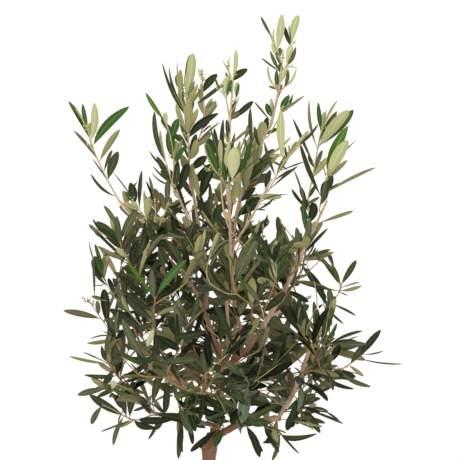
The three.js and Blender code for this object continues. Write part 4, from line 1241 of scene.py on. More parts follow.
def grow_shown(woods, named):
    """The stems and leaves of the posed shoots."""
    for number, (depths, stems, leaves) in enumerate(SHOWN.values()):
        draw = np.random.default_rng(POSED_SEED + number)
        group = []
        foot, tip = depths[0] * MM, depths[1] * MM
        for stem in stems:
            if isinstance(stem, str):
                group.append(named[stem])
                continue
            marks = np.array(stem, float)
            share = travelled(marks) / travelled(marks)[-1]
            if group:
                carrier, place = nearest_shown(group, marks[0])
                foot = carrier.path[place][1]
            points = np.array([seen(x, y, blend(foot, tip, part)) for (x, y), part in zip(marks, share)])
            if not group:
                found = [best_starts(points[:1], wood) for wood in woods]
                index = int(np.argmin([cost[0] for cost, _ in found]))
                carrier, place = woods[index], int(found[index][1][0])
            path = np.concatenate([carrier.path[place : place + 1], points])
            wood = Wood(smooth_path(path, POSED_STEP, 4), carrier, place)
            wood.posed = True
            for pile in (group, plant.shoots, woods):
                pile.append(wood)
        for leaf in leaves:
            pose_leaf(group, draw, *leaf)


def pose_leaf(group, draw, kind, base_x, base_y, tip_x, tip_y, shown_width, bow=0.0, lean=None):
    """One posed leaf, which starts on the nearest of its group's stems."""
    lean = draw.uniform(*LEANS) if lean is None else lean
    wood, place = nearest_shown(group, (base_x, base_y))
    base, along = wood.path[place], wood.along[place]
    wood.joints.append(wood.reach[place])
    flat = np.linalg.norm(seen(tip_x, tip_y, base[1]) - base)
    chord = seen(tip_x, tip_y, base[1] + lean * flat) - base
    length = np.linalg.norm(chord)
    direction = chord / length
    if kind == "K" and base[2] > GREEN_HEIGHT:
        kind = "L"
    face, *tones = LEAF_LOOKS[kind]
    wide = shown_width * PIXEL
    width = max(wide, np.clip(length / USUAL_SLIM, *POSED_WIDTHS) * LEAST_SHARE)
    roll = math.acos(min(1.0, wide / width))
    facing = square_to(TO_EYE if face == "upper" else -TO_EYE, direction)
    stem_side = unit(along - direction * (along @ direction) + facing * 1e-3)
    choices = [turned(facing, direction, roll), turned(facing, direction, -roll)]
    normal = max(choices, key=lambda choice: choice @ stem_side)
    left = unit(np.cross(TO_EYE, direction))
    side = np.cross(direction, normal)
    # Halfway along, a leaf is off its chord by a quarter of its sway and an eighth of its bend
    sway, bend = -4 * bow * (side @ left), -8 * bow * (normal @ left)
    bend += draw.normal(0, POSED_SPREAD)
    direction = unit(direction - side * sway - normal * bend / 2)
    normal = square_to(normal, direction)
    plant.put_out(base, direction, normal, length, width, POSED_TRAITS, draw, (bend, sway), tones)


JOINT_SWELL, JOINT_REACH = 0.22, 1.8 * MM
TAPER = 0.2
LIMB_STEP = 4 * MM


def bare_radii(shoot):
    """The radii along a shoot, from what it carries."""
    taper = 1 + TAPER * (1 - shoot.reach / shoot.reach[-1])
    return (shoot.tip_radius**SHARE_POWER * taper + shoot.load) ** (1 / SHARE_POWER)


def twig_radii(shoot):
    """The radii along a shoot, a little more at its joints."""
    radii = np.minimum(bare_radii(shoot), THICKEST_TWIG)
    if shoot.start:
        run_out = min(RUN_OUT, shoot.reach[-1])
        radii = np.maximum(radii, blend(shoot.start, radii[-1], ease(shoot.reach, 0, run_out)))
    for distance in shoot.joints:
        radii = radii * (1 + JOINT_SWELL * bell(shoot.reach - distance, JOINT_REACH))
    return radii


def share_back(limbs):
    """Passes each shoot's thickness, and how far its tip is, back to the shoot that carries it."""
    for shoot in reversed(plant.shoots):
        carrier, stop = shoot.carrier, shoot.place + 1
        ahead = carrier.reach[shoot.place] - carrier.reach[:stop] + shoot.beyond[0]
        carrier.beyond[:stop] = np.maximum(carrier.beyond[:stop], ahead)
        if carrier not in limbs:
            carrier.load[:stop] += bare_radii(shoot)[0] ** SHARE_POWER


def grow_crown():
    """Grows the posed shoots and the leaders, fills the crown with more, and then puts out the leaves."""
    named = {}
    for name, (path, radii) in WOOD.items():
        if name != "trunk":
            named[name] = Wood(smooth_path(path, LIMB_STEP))
            named[name].end_radius = radii[-1]
    limbs = list(named.values())
    woods = limbs[:]
    grow_shown(woods, named)
    grow_leaders(woods)
    draw = np.random.default_rng(SPOTS_SEED)
    grow_towards(crown_spots(draw), woods, draw)
    share_back(limbs)
    for number, shoot in enumerate(plant.shoots):
        if not shoot.posed:
            dress(shoot, np.random.default_rng(SEED + number))


grow_crown()

# The plain colours of leaves, twigs and buds


def plain(name, colour, roughness, specular=0.5):
    """A material of one colour."""
    material = bpy.data.materials.new(name)
    material.use_nodes = True
    shader = material.node_tree.nodes["Principled BSDF"]
    shader.inputs["Base Color"].default_value = linear(*colour)
    shader.inputs["Roughness"].default_value = roughness
    shader.inputs["Specular IOR Level"].default_value = specular
    return material


def plains(name, tones, roughness, specular):
    """A material for each of some tones."""
    return [plain(f"{name}_{number}", tone, roughness, specular) for number, tone in enumerate(tones)]


# The upper sides' tones. The last, blue-grey tone is a painted sheen: a reflection painted into the base
# colour
UPPER_TONES = [
    (15, 19, 8), (31, 43, 17), (52, 61, 32), (70, 79, 51), (45, 79, 24), (58, 100, 23), (92, 126, 44),
    (80, 93, 75),
]
PAINTED_SHEEN_UPPER = 7  # the tone of the few old leaves with a painted grey sheen: a reflection of the bright surroundings painted into their base colour
PAINTED_SHEEN_SHARE = 0.09
# The midrib of a leaf of each of these tones; the last is the midrib of a leaf with the painted grey sheen
VEIN_TONES = [
    (40, 48, 26), (60, 70, 38), (84, 92, 56), (104, 112, 74), (92, 116, 58), (116, 144, 70), (146, 166, 88),
    (112, 122, 96),
]
UNDER_TONES = [
    (92, 86, 57), (110, 103, 70), (128, 123, 86), (147, 146, 98), (151, 153, 102), (161, 165, 119),
    (180, 182, 140),
]
STALK_TONES = [(154, 124, 70), (172, 156, 86), (184, 184, 104)]
LEAF_PAINTS = (
    plains("leaf_upper", UPPER_TONES, 0.5, 0.17)
    + plains("leaf_under", UNDER_TONES, 0.72, 0.3)
    + plains("leaf_stalk", STALK_TONES, 0.6, 0.4)
    + plains("leaf_vein", VEIN_TONES, 0.6, 0.2)
)
FIRST_UNDER = len(UPPER_TONES)
FIRST_STALK = FIRST_UNDER + len(UNDER_TONES)
FIRST_VEIN = FIRST_STALK + len(STALK_TONES)
OLD_YOUTH = 0.6  # a leaf less young than this may get the painted grey sheen
# The first heights: leaves get lighter tones between them, painted light on the upper crown over painted
# shade in the lower crown
PAINTED_LIGHT_HEIGHTS, BRIGHT_HEIGHTS = (0.50, 0.64), (0.72, 0.86)
BRIGHTEST = (3.2, 6.2)  # the last upper tones below and above the bright heights
# How far a leaf's youth, the painted light by its height and chance move its tones on, and where they start
UPPER_SHARES, UNDER_SHARES = (3, 0.5, 4.2, -0.25), (2.7, 0.7, 3.4, 0)


def tone_at(value, most):
    """A whole number from 0 up to the most."""
    return int(np.clip(value, 0, most))


def weighed(youth, painted_light, chance, shares):
    """Where a leaf lies among the tones, before it is made a whole number."""
    by_youth, by_painted_light, by_chance, start = shares
    return youth * by_youth + painted_light * by_painted_light + chance * by_chance + start


def leaf_slots(leaf):
    """The material slot of each kind of surface of a leaf, by its age, its place and its draw. Its height
    also paints light and shade into its tones.
    """
    dice, youth, height = leaf["dice"], leaf["youth"], leaf["base"][2]
    painted_light = float(ease(height, *PAINTED_LIGHT_HEIGHTS))
    brightest = blend(*BRIGHTEST, ease(height, *BRIGHT_HEIGHTS))
    upper = tone_at(weighed(youth, painted_light, dice, UPPER_SHARES), brightest)
    # Some older leaves take the blue-grey tone, a painted sheen
    if youth < OLD_YOUTH and (dice * 13) % 1 < PAINTED_SHEEN_SHARE:
        upper = PAINTED_SHEEN_UPPER
    under = tone_at(weighed(youth, painted_light, (dice * 7) % 1, UNDER_SHARES), len(UNDER_TONES) - 1)
    upper, under = leaf.get("tones", (upper, under))
    stalk = tone_at(youth * 2 + dice, len(STALK_TONES) - 1)
    rib = FIRST_UNDER + min(under + 1, len(UNDER_TONES) - 1)
    return np.array([upper, FIRST_UNDER + under, FIRST_VEIN + upper, rib, FIRST_STALK + stalk])


REGIONS = ("upper", "left", "right", "front", "back")
UPPER_REGION = 0.70
OUTER_REGION = 0.05


def region_of(name):
    """The piece that a mass's leaves belong to."""
    low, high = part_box(name)
    middle = (low + high) / 2
    if middle.z > UPPER_REGION:
        return "upper"
    if abs(middle.y) > OUTER_REGION:
        return "front" if middle.y < 0 else "back"
    return "left" if middle.x < HEART[0] else "right"


def make_leaves():
    """One piece of leaves for each region of the crown. A leaf belongs to the mass that it is deepest in."""
    homes = []
    for leaf in plant.leaves:
        homes.append(region_of(max(MASSES, key=lambda name: SHAPES[name].depth(leaf["base"]))))
    faces, kinds = band_faces(LEAF_RINGS, LEAF_SIDES), leaf_face_kinds()
    for region in REGIONS:
        masses = [name for name in MASSES if region_of(name) == region]
        leaves = [leaf for leaf, home in zip(plant.leaves, homes) if home == region]
        pile = Pile()
        for leaf, points in zip(leaves, leaf_points(leaves)):
            pile.add(points.reshape(-1, 3), faces, leaf_slots(leaf)[kinds])
        pile.build(f"leaves_{region}", LEAF_PAINTS, masses, LEAF_MARGINS)


# Three tones for old wood, from brown to beige, then two for young shoots: pale and green
TWIG_TONES = [(132, 102, 68), (154, 126, 84), (172, 152, 106), (182, 160, 134), (164, 152, 96)]
TWIG_AGES = ((0, 1), (1, 2), (3, 2), (3, 4))  # the tones where a twig is thick and thin, low to high
YOUNG_WIDTH = 0.98 * MM
TWIG_SIDES = 6
OUT_SHARE, TONE_SPREAD = 0.3, 0.15


def make_twigs():
    """All the twigs as one piece."""
    pile = Pile()
    draw = np.random.default_rng(SEED)
    for shoot in plant.shoots:
        radii = twig_radii(shoot)
        middle = shoot.path[len(shoot.path) // 2]
        youth = youth_at(middle[2]) + OUT_SHARE * outness(middle) + draw.uniform(-TONE_SPREAD, TONE_SPREAD)
        thick, thin = TWIG_AGES[tone_at(youth * len(TWIG_AGES), len(TWIG_AGES) - 1)]
        walls = np.repeat(np.where(radii[1:] < YOUNG_WIDTH, thin, thick), TWIG_SIDES * 2)
        caps = np.repeat((thick, thin), TWIG_SIDES - 2)
        pile.add(*tube(shoot.path, radii, TWIG_SIDES), np.concatenate([walls, caps]))
    pile.build("twigs", plains("twig", TWIG_TONES, 0.7, 0.3))


# Three tones for fresh buds and one for dried ones
BUD_TONES = [(160, 158, 92), (184, 182, 118), (204, 200, 146), (134, 102, 74)]
FRESH, DRIED = 0, 3
BUD_RADIUS = (0.75 * MM, 1.15 * MM)
BUD_PROFILE = np.array([(0.0, 0.25), (0.3, 0.8), (0.95, 1.0), (1.6, 0.75), (2.0, 0.2)])
STALK_RADII = (0.42, 0.25)  # millimetres
SIDE_STALK_RADII = (0.24 * MM, 0.2 * MM)
STALK_GAP = 3.2 * MM  # between pairs of side stalks
STALK_STEP = 2 * MM
STALK_STRAY, STALK_BOW, FIRST_PAIR = 0.15, 0.06, 0.3  # shares of a stalk's length
SIDE_LENGTHS, SIDE_TAPER, SIDE_LEANS = (1.6, 3.6), 1.3, (0.5, 1.1)
BUD_PLACES, BUD_SPREAD = (0.7, 1.0), 0.5
SHOWN_RISE, SHOWN_SPREAD = 0.5, 0.35
# The clusters that the photograph shows: the pixel, the length in millimetres, and 1 for a dried one
SHOWN_BUDS = [
    (202, 79, 13, 0), (202, 80, 15, 0), (203, 83, 12, 0), (203, 84, 8, 0), (202, 90, 8, 0),
    (233, 80, 12, 0), (232, 84, 9, 0), (220, 90, 7, 0), (228, 66, 8, 0), (228.5, 69, 7, 0),
    (286, 158, 13, 0), (296, 148, 12, 0), (298, 146, 8, 0), (89, 133, 12, 0), (89, 302, 8, 1),
    (93, 307, 7, 1), (91, 304, 8, 1), (330, 344, 12, 0), (316, 345, 15, 0), (334, 370, 10, 1),
    (340, 370, 9, 0), (105, 388, 11, 1), (276, 90, 9, 0), (283, 62, 9, 0), (187, 92, 11, 0),
    (186, 98, 9, 0), (270, 127, 9, 0), (246, 192, 8, 0), (231, 231, 12, 0), (228, 236, 11, 0),
    (205, 254, 12, 0), (188, 240, 10, 1), (172, 240, 9, 1),
]
BUD_SHARE = 0.16  # of the joints on young shoots
BUD_LENGTHS = (6, 12)
BUDS_LOWER = 0.06  # how much lower than a young shoot buds start


def spray_of_buds(pile, base, heading, length, dried, draw):
    """A bare stalk with pairs of side stalks, each with small round buds."""
    tone = DRIED if dried else FRESH
    side = unit(np.cross(heading, draw.normal(size=3)))
    tip = base + (heading + side * draw.normal(0, STALK_STRAY)) * length
    stalk = smooth_path([base, (base + tip) / 2 + side * length * STALK_BOW, tip], STALK_STEP)
    pile.add(*tube(stalk, np.linspace(*STALK_RADII, len(stalk)) * MM, 5), tone)
    reach, pairs = travelled(stalk), int(length / STALK_GAP)
    for pair in range(pairs + 1):
        share = FIRST_PAIR + (1 - FIRST_PAIR) * pair / pairs
        point, along = place_on(stalk, reach, reach[-1] * share)
        out = turned(side, along, pair * math.pi / 2)
        for way in (out, -out) if pair < pairs else (along,):
            reached = draw.uniform(*SIDE_LENGTHS) * MM * (SIDE_TAPER - pair / (pairs + 1))
            lean = unit(way + along * draw.uniform(*SIDE_LEANS))
            pile.add(*tube(np.stack([point, point + lean * reached]), SIDE_STALK_RADII, 4), tone)
            for _ in range(1 if dried else draw.integers(1, 4)):
                aim = unit(lean + draw.normal(0, BUD_SPREAD, 3))
                radius = draw.uniform(*BUD_RADIUS)
                centre = point + lean * reached * draw.uniform(*BUD_PLACES) + aim * radius / 2
                core = centre + aim * radius * (BUD_PROFILE[:, :1] - 0.6)
                shape = tube(core, BUD_PROFILE[:, 1] * radius, 6)
                pile.add(*shape, DRIED if dried else draw.integers(0, DRIED))


def make_buds():
    """The flower buds as one piece: the clusters that show, and more on the young shoots."""
    pile = Pile()
    draw = np.random.default_rng(SEED + 5)
    carriers = [shoot for shoot in plant.shoots if shoot.posed]
    for x, y, length, dried in SHOWN_BUDS:
        shoot, place = nearest_shown(carriers, (x, y))
        heading = unit(shoot.along[place] + UP * SHOWN_RISE + draw.normal(0, SHOWN_SPREAD, 3))
        spray_of_buds(pile, shoot.path[place], heading, length * MM, dried, draw)
    for shoot in plant.shoots:
        for distance in shoot.joints:
            point, along = place_on(shoot.path, shoot.reach, distance)
            if draw.random() > BUD_SHARE * youth_at(point[2] + BUDS_LOWER):
                continue
            heading = unit(along + draw.normal(0, BUD_SPREAD, 3))
            spray_of_buds(pile, point, heading, draw.uniform(*BUD_LENGTHS) * MM, False, draw)
    pile.build("flower_buds", plains("bud", BUD_TONES, 0.6, 0.3))


make_leaves()
make_twigs()
make_buds()

# Node materials


class Paint:
    """A node material while it is put together."""

    def __init__(self, name):
        self.material = bpy.data.materials.new(name)
        self.material.use_nodes = True
        self.tree = self.material.node_tree
        self.shader = self.tree.nodes["Principled BSDF"]
        self.place = self.add("ShaderNodeTexCoord").outputs["Object"]

    def add(self, kind, inputs=(), **settings):
        """A node with its settings and inputs. An input is a value or another node's output."""
        node = self.tree.nodes.new(kind)
        for name, value in settings.items():
            setattr(node, name, value)
        for name, value in dict(inputs).items():
            self.feed(node.inputs[name], value)
        return node

    def feed(self, socket, value):
        """Sets a socket, or links it to an output."""
        if isinstance(value, bpy.types.NodeSocket):
            self.tree.links.new(value, socket)
        else:
            socket.default_value = value

    def stretched(self, x, y, z):
        """Object coordinates times three numbers."""
        node = self.add("ShaderNodeMapping", {"Vector": self.place, "Scale": (x, y, z)})
        return node.outputs["Vector"]

    def noise(self, scale, detail=4.0, place=None):
        """A cloudy value from 0 to 1. The scale is in spots per metre."""
        inputs = {"Vector": place or self.place, "Scale": scale, "Detail": detail}
        return self.add("ShaderNodeTexNoise", inputs).outputs["Fac"]

    def cells(self, scale, place=None):
        """The distance from the nearest of many scattered points, as a share of their gap."""
        inputs = {"Vector": place or self.place, "Scale": scale}
        return self.add("ShaderNodeTexVoronoi", inputs).outputs["Distance"]

    def attribute(self, name):
        """A value that the mesh holds at each point."""
        return self.add("ShaderNodeAttribute", attribute_name=name).outputs["Fac"]

    def sum(self, first, second):
        """Two values added."""
        return self.add("ShaderNodeMath", {0: first, 1: second}, operation="ADD").outputs[0]

    def product(self, first, second):
        """Two values multiplied."""
        return self.add("ShaderNodeMath", {0: first, 1: second}, operation="MULTIPLY").outputs[0]

    def step(self, value, low, high, most=1.0):
        """0 at low, and most at high, which may be the lower of the two."""
        inputs = {"Value": value, "From Min": low, "From Max": high, "To Min": 0.0, "To Max": most}
        return self.add("ShaderNodeMapRange", inputs, interpolation_type="SMOOTHSTEP").outputs["Result"]

    def ramp(self, value, stops):
        """A colour from stops of a position and a display colour."""
        node = self.add("ShaderNodeValToRGB", {"Fac": value})
        band = node.color_ramp.elements
        while len(band) < len(stops):
            band.new(0.5)
        for mark, (position, colour) in zip(band, stops):
            mark.position = position
            mark.color = linear(*colour)
        return node.outputs["Color"]

    def mix(self, share, first, second, kind="MIX"):
        """Two colours blended."""
        node = self.add("ShaderNodeMix", data_type="RGBA", blend_type=kind)
        for place, value in ((0, share), (6, first), (7, second)):
            self.feed(node.inputs[place], linear(*value) if isinstance(value, tuple) else value)
        return node.outputs[2]

    def finish(self, colour, roughness, height, strength, distance):
        """Joins the colour, roughness and bump to the shader."""
        bump = self.add("ShaderNodeBump", {"Height": height, "Strength": strength, "Distance": distance})
        values = {"Base Color": colour, "Roughness": roughness, "Normal": bump.outputs["Normal"]}
        for name, value in values.items():
            self.feed(self.shader.inputs[name], value)
        return self.material


def bark_paint():
    """Olive bark: pinkish beige on young limbs, brown and finely split on the trunk, and brown on the lower
    limbs, which is partly painted shade.
    """
    paint = Paint("olive_bark")
    age, grain, scar = (paint.attribute(name) for name in ("age", "grain", "scar"))
    cloud = paint.sum(paint.noise(70.0, 5.0), -0.5)
    # By age: brown low in the crown, which is both older bark and painted shade
    colour = paint.ramp(
        paint.sum(age, paint.product(cloud, 0.5)),
        [(0.0, (196, 172, 154)), (0.3, (176, 146, 120)), (0.62, (142, 102, 74)), (1.0, (120, 82, 56))],
    )
    colour = paint.mix(paint.step(paint.noise(28.0, 3.0), 0.5, 0.7, 0.45), colour, (164, 156, 134))
    pores = paint.step(paint.cells(330.0, paint.stretched(1.0, 1.0, 0.6)), 0.2, 0.08, 0.55)
    colour = paint.mix(pores, colour, (214, 192, 160))
    colour = paint.mix(paint.step(grain, 0.42, 0.02, 0.7), colour, (70, 46, 32))
    colour = paint.mix(paint.step(scar, 0.3, 0.8, 0.85), colour, (64, 42, 30))
    fine = paint.noise(1100.0, 3.0)
    return paint.finish(colour, paint.sum(paint.step(fine, 0.0, 1.0, 0.35), 0.5), fine, 0.4, 0.5 * MM)


def clay_paint():
    """Fired clay with pale bloom, damp stains near the foot and rubbed edges."""
    paint = Paint("fired_clay")
    height = paint.add("ShaderNodeSeparateXYZ", {"Vector": paint.place}).outputs["Z"]
    cloud = paint.noise(22.0, 6.0)
    colour = paint.ramp(cloud, [(0.3, (150, 88, 64)), (0.5, (170, 104, 77)), (0.72, (186, 122, 93))])
    turned_lines = paint.noise(6.0, 6.0, paint.stretched(1.0, 1.0, 60.0))
    colour = paint.mix(paint.step(turned_lines, 0.35, 0.75, 0.35), colour, (202, 138, 104))
    bloom = paint.product(paint.step(paint.noise(45.0, 8.0), 0.48, 0.68), paint.step(cloud, 0.4, 0.65))
    colour = paint.mix(paint.product(bloom, 0.36), colour, (216, 192, 170))
    damp = paint.sum(height, paint.product(cloud, 0.05))
    colour = paint.mix(paint.step(damp, 0.055, 0.028, 0.5), colour, (118, 66, 46))
    moss = paint.product(paint.step(paint.noise(60.0, 5.0), 0.52, 0.66), paint.step(damp, 0.05, 0.03))
    colour = paint.mix(paint.product(moss, 0.5), colour, (96, 92, 58))
    colour = paint.mix(paint.step(paint.cells(420.0), 0.14, 0.06, 0.5), colour, (120, 68, 50))
    colour = paint.mix(paint.step(paint.attribute("edge"), 0.3, 1.0, 0.5), colour, (214, 152, 118))
    roughness = paint.sum(paint.step(cloud, 0.2, 0.8, 0.18), 0.72)
    bumps = paint.sum(paint.product(paint.noise(900.0, 4.0), 0.4), turned_lines)
    return paint.finish(colour, roughness, bumps, 0.35, 0.6 * MM)


def soil_paint():
    """Dark potting compost, with crumbs, bark chips and white grains by each point's tone."""
    paint = Paint("potting_compost")
    crumbs = [(0.0, (44, 31, 24)), (0.35, (66, 47, 35)), (0.6, (92, 66, 46))]
    colour = paint.ramp(paint.attribute("tone"), crumbs + [(0.8, (130, 96, 66)), (1.0, (226, 222, 212))])
    cloud = paint.noise(260.0, 6.0)
    shade = paint.ramp(cloud, [(0.3, (120, 110, 104)), (0.7, (255, 255, 255))])
    colour = paint.mix(0.75, colour, shade, "MULTIPLY")
    roughness = paint.sum(paint.step(cloud, 0.2, 0.8, 0.15), 0.8)
    return paint.finish(colour, roughness, paint.noise(1400.0, 4.0), 0.6, 0.8 * MM)


# Bark

# The share of its radius that the bark keeps on two limbs, which the photograph shows slimmer
SLIMMED = {"right_bough": 0.82, "main_stem": 0.92}
THICK = ("trunk", "main_stem", "right_bough", "right_riser", "right_branch", "left_leader")
THICK_VOXEL, THIN_VOXEL = 0.7 * MM, 0.9 * MM
BARK_SIDES, BARK_STEP = 28, 2 * MM
SMOOTHINGS = 4
FOOT_SUNK = 4 * MM  # how far the trunk's foot goes down into the soil
FOOT_SPREAD = 1.04
FLARE_RIDGES, FLARE_SHARE, FLARE_OVAL = 5, 0.15, 0.35
FLARE_RISE = (SOIL_TOP * MM, 196 * MM)
# Pruned stubs: where each starts in millimetres, its way, its length and its radius. The bough's is near
# the bough's end.
STUBS = {
    "trunk": ((-0.7, -1.0, 390.6), (-0.74, -0.67, 0.08), 14.0, 4.3),
    "right_bough": (None, (0.98, -0.15, -0.1), 10.5, 2.5),
}
STUB_MARKS = np.array([0.0, 0.6, 0.8, 0.92, 1.0])
STUB_WIDTHS = np.array([1.0, 1.0, 1.14, 1.1, 0.8])
GRAIN_WIDTH = 1.5 * MM
GRAIN_STRETCH = 8.0
GRAIN_NOISE = (0.8, 2.1, 3)  # roughness, step between layers and number of layers
SPLIT_WIDTH, SPLIT_DEPTH = 0.13, 1.1  # of the grain's range
RELIEF = (0.06, 0.30)  # millimetres, on young and old bark
OUT_YOUTH, HIGH_YOUTH_AND_LIGHT = 0.8, 0.75  # how much younger the bark is well out, and how much paler high up; the darker bark lower down is partly older bark and partly painted shade
# The bark darkens below these heights: older bark there, and painted shade of the crown over the lower limbs
OLD_AND_SHADED_HEIGHTS = (0.46, 0.58)
RUN_APART = 0.7  # metres between one limb's grain and the next's
SCAR_FIRST, SCAR_GAP = (8, 20), (20, 34)
RING_WIDTH, SCAR_WIDTH, SCAR_BELOW = 1.7 * MM, 0.7 * MM, 0.9 * MM
RING_RISE, SCAR_RISE = 0.22, 0.5  # millimetres
SCAR_FACING = 0.9  # a scar shows where the bark faces this far the scar's way
RING_WORN, SCAR_WORN = 0.55, 0.6  # the shares that are lost on old bark
CUT_WIDTH, CUT_DEPTH = 0.85, 1.5  # of a stub's end: a share of its radius, and millimetres
CUT_REACH, CUT_AGE = 2.2, 0.8  # the bark round a stub's end looks old


def limb_run(node):
    """A limb's fine path and radii. The trunk's foot goes down into the soil."""
    path, radii = WOOD[node]
    if node == "trunk":
        path = np.concatenate([[path[0] * [1, 1, 0] + UP * (SOIL_TOP * MM - FOOT_SUNK)], path])
        radii = np.concatenate([radii[:1] * FOOT_SPREAD, radii])
    fine = smooth_path(path, BARK_STEP)
    reach = travelled(path)
    marks = travelled(fine) * (reach[-1] / travelled(fine)[-1])
    return fine, np.interp(marks, reach, radii) * SLIMMED.get(node, 1.0)


def stub_run(node, fine):
    """The path and radii of a limb's pruned stub."""
    start, way, length, radius = STUBS[node]
    start = fine[-3] if start is None else np.array(start) * MM
    path = start + unit(np.array(way)) * (STUB_MARKS * length * MM)[:, None]
    return path, STUB_WIDTHS * radius * MM


def make_wood(name, nodes, voxel):
    """Tubes along the limbs, fused into one mesh with the bark's relief."""
    pile, runs, ends = Pile(), [], []
    for node in nodes:
        fine, radii = limb_run(node)
        runs.append((fine, radii))
        rings = radii[:, None]
        if node == "trunk":
            angles = round_angles(BARK_SIDES)
            waves = np.cos(FLARE_RIDGES * angles) + FLARE_OVAL * np.cos(2 * angles + 1)
            low = 1 - ease(fine[:, 2], *FLARE_RISE)
            rings = rings * (1 + FLARE_SHARE * low[:, None] * waves[None])
        pile.add(*tube(fine, np.broadcast_to(rings, (len(fine), BARK_SIDES)), BARK_SIDES))
        if node in STUBS:
            path, radii = stub_run(node, fine)
            pile.add(*tube(path, radii, BARK_SIDES))
            ends.append((path[-1], radii[0]))
    rough = pile.mesh(name + "_rough")
    fuse = rough.modifiers.new("fuse", "REMESH")
    fuse.mode = "VOXEL"
    fuse.voxel_size = voxel
    rough.modifiers.new("smooth", "SMOOTH").iterations = SMOOTHINGS
    mesh = with_modifiers(rough)
    bpy.data.objects.remove(rough)
    mesh.name = name
    roughen(mesh, runs, ends)
    mesh.polygons.foreach_set("use_smooth", np.ones(len(mesh.polygons), bool))
    mesh.materials.clear()
    mesh.materials.append(BARK_PAINT)
    settle(in_scene(name, mesh), nodes)


def roughen(mesh, runs, ends):
    """Raises the bark's grain and scars, and notes each point's age, grain and scars for its colour. The age
    is higher low down, which is partly painted shade.
    """
    points, normals = values_of(mesh.vertices, "co", 3), values_of(mesh.vertices, "normal", 3)
    centres = np.concatenate([path for path, _ in runs])
    along = np.concatenate([tangents(path) for path, _ in runs])
    distance = np.concatenate(
        [travelled(path) + RUN_APART * number for number, (path, _) in enumerate(runs)]
    )
    tree = kdtree.KDTree(len(centres))
    for index, centre in enumerate(centres):
        tree.insert(Vector(centre), index)
    tree.balance()
    near = np.array([tree.find(Vector(point))[1] for point in points])
    gap = points - centres[near]
    axial = (gap * along[near]).sum(1)
    radial = gap - along[near] * axial[:, None]
    reach = distance[near] + axial
    spots = radial / GRAIN_WIDTH + along[near] * (reach / (GRAIN_WIDTH * GRAIN_STRETCH))[:, None]
    grain = np.array([noise.fractal(Vector(spot), *GRAIN_NOISE) for spot in spots])
    split = bell(grain, SPLIT_WIDTH)
    # Darker bark low down is partly older bark and partly painted shade
    age = (1 - OUT_YOUTH * outness(points)) * (1 - HIGH_YOUTH_AND_LIGHT * ease(points[:, 2], *OLD_AND_SHADED_HEIGHTS))
    lift = blend(*RELIEF, age) * MM * (grain - SPLIT_DEPTH * split)

    # Pairs of leaf scars, each pair a quarter turn on from the last
    draw = np.random.default_rng(SEED + len(runs))
    direction = radial / np.maximum(np.linalg.norm(radial, axis=1, keepdims=True), 1e-9)
    scar = np.zeros(len(points))
    for number, (path, _) in enumerate(runs):
        turn = draw.uniform(0, math.pi)
        place, total = draw.uniform(*SCAR_FIRST) * MM, travelled(path)[-1]
        while place < total:
            _, heading = place_on(path, travelled(path), place)
            facing = np.abs(direction @ spoke(heading, turn))
            from_scar = reach - (place + RUN_APART * number)
            rise = (RING_RISE + SCAR_RISE * facing**4) * MM * (1 - RING_WORN * age)
            lift += bell(from_scar, RING_WIDTH) * rise
            mark = bell(from_scar - SCAR_BELOW, SCAR_WIDTH) * (facing > SCAR_FACING)
            scar = np.maximum(scar, mark * (1 - SCAR_WORN * age))
            place += draw.uniform(*SCAR_GAP) * MM
            turn += math.pi / 2
    for end, radius in ends:
        from_end = np.linalg.norm(points - end, axis=1)
        core = np.exp(-((from_end / (CUT_WIDTH * radius)) ** 4))
        lift -= core * CUT_DEPTH * MM
        scar = np.maximum(scar, core)
        age = np.maximum(age, bell(from_end, CUT_REACH * radius) * CUT_AGE)
    points += normals * lift[:, None]
    mesh.vertices.foreach_set("co", points.astype(np.float32).ravel())
    for label, values in (("age", age), ("grain", 1 - split), ("scar", scar)):
        note(mesh, label, values)
    mesh.update()


BARK_PAINT = bark_paint()
make_wood("bark_thick", THICK, THICK_VOXEL)
make_wood("bark_thin", [name for name in WOOD if name not in THICK], THIN_VOXEL)

# Pot

POT_AROUND = 176
PROFILE_STEP = 3.0
DRILL_SIDES = 32
TURNING_DEPTH, TURNING_RATE = 0.12, 1.35  # the fine rings from the wheel
TURNED_FROM = 4  # the height where they start
WAVE_RISE = 40  # millimetres of height for one unit of the waves and chips
SWAY_RATE, SWAY_DEPTH = 1.7, 0.5
CHIP_RATE, CHIP_DEPTH, CHIP_DROP = 9.0, 0.9, 0.5
CHIPPED, WORN = (0.28, 0.5), (-0.5, 0.4)  # where the edges are chipped and worn, in the noise's range
DRILL_PAST = 5.0  # how far a drill goes past the pot's floor, above and below
SHARP_ANGLE = math.radians(40)


def inside_radius(height):
    """The pot's radius inside, all in millimetres."""
    share = (height - POT_FLOOR) / (POT_HEIGHT - POT_FLOOR)
    return blend(POT_FOOT_RADIUS - POT_WALL, POT_TOP_RADIUS - POT_WALL, share)


def rounded(corners, steps=5):
    """The outline through corners of x, y and rounding, with the long runs cut into short ones."""
    marks = []
    for index, (x, y, rounding) in enumerate(corners):
        point = np.array([x, y])
        if rounding == 0:
            marks.append(point)
            continue
        before = unit(np.array(corners[index - 1][:2]) - point)
        after = unit(np.array(corners[index + 1][:2]) - point)
        first, last = point + before * rounding, point + after * rounding
        for share in np.linspace(0, 1, steps):
            marks.append(first * (1 - share) ** 2 + 2 * point * share * (1 - share) + last * share**2)
    outline = [marks[0]]
    for mark in marks[1:]:
        pieces = max(1, int(np.linalg.norm(mark - outline[-1]) / PROFILE_STEP))
        start = outline[-1]
        outline += [blend(start, mark, part / pieces) for part in range(1, pieces + 1)]
    return np.array(outline)


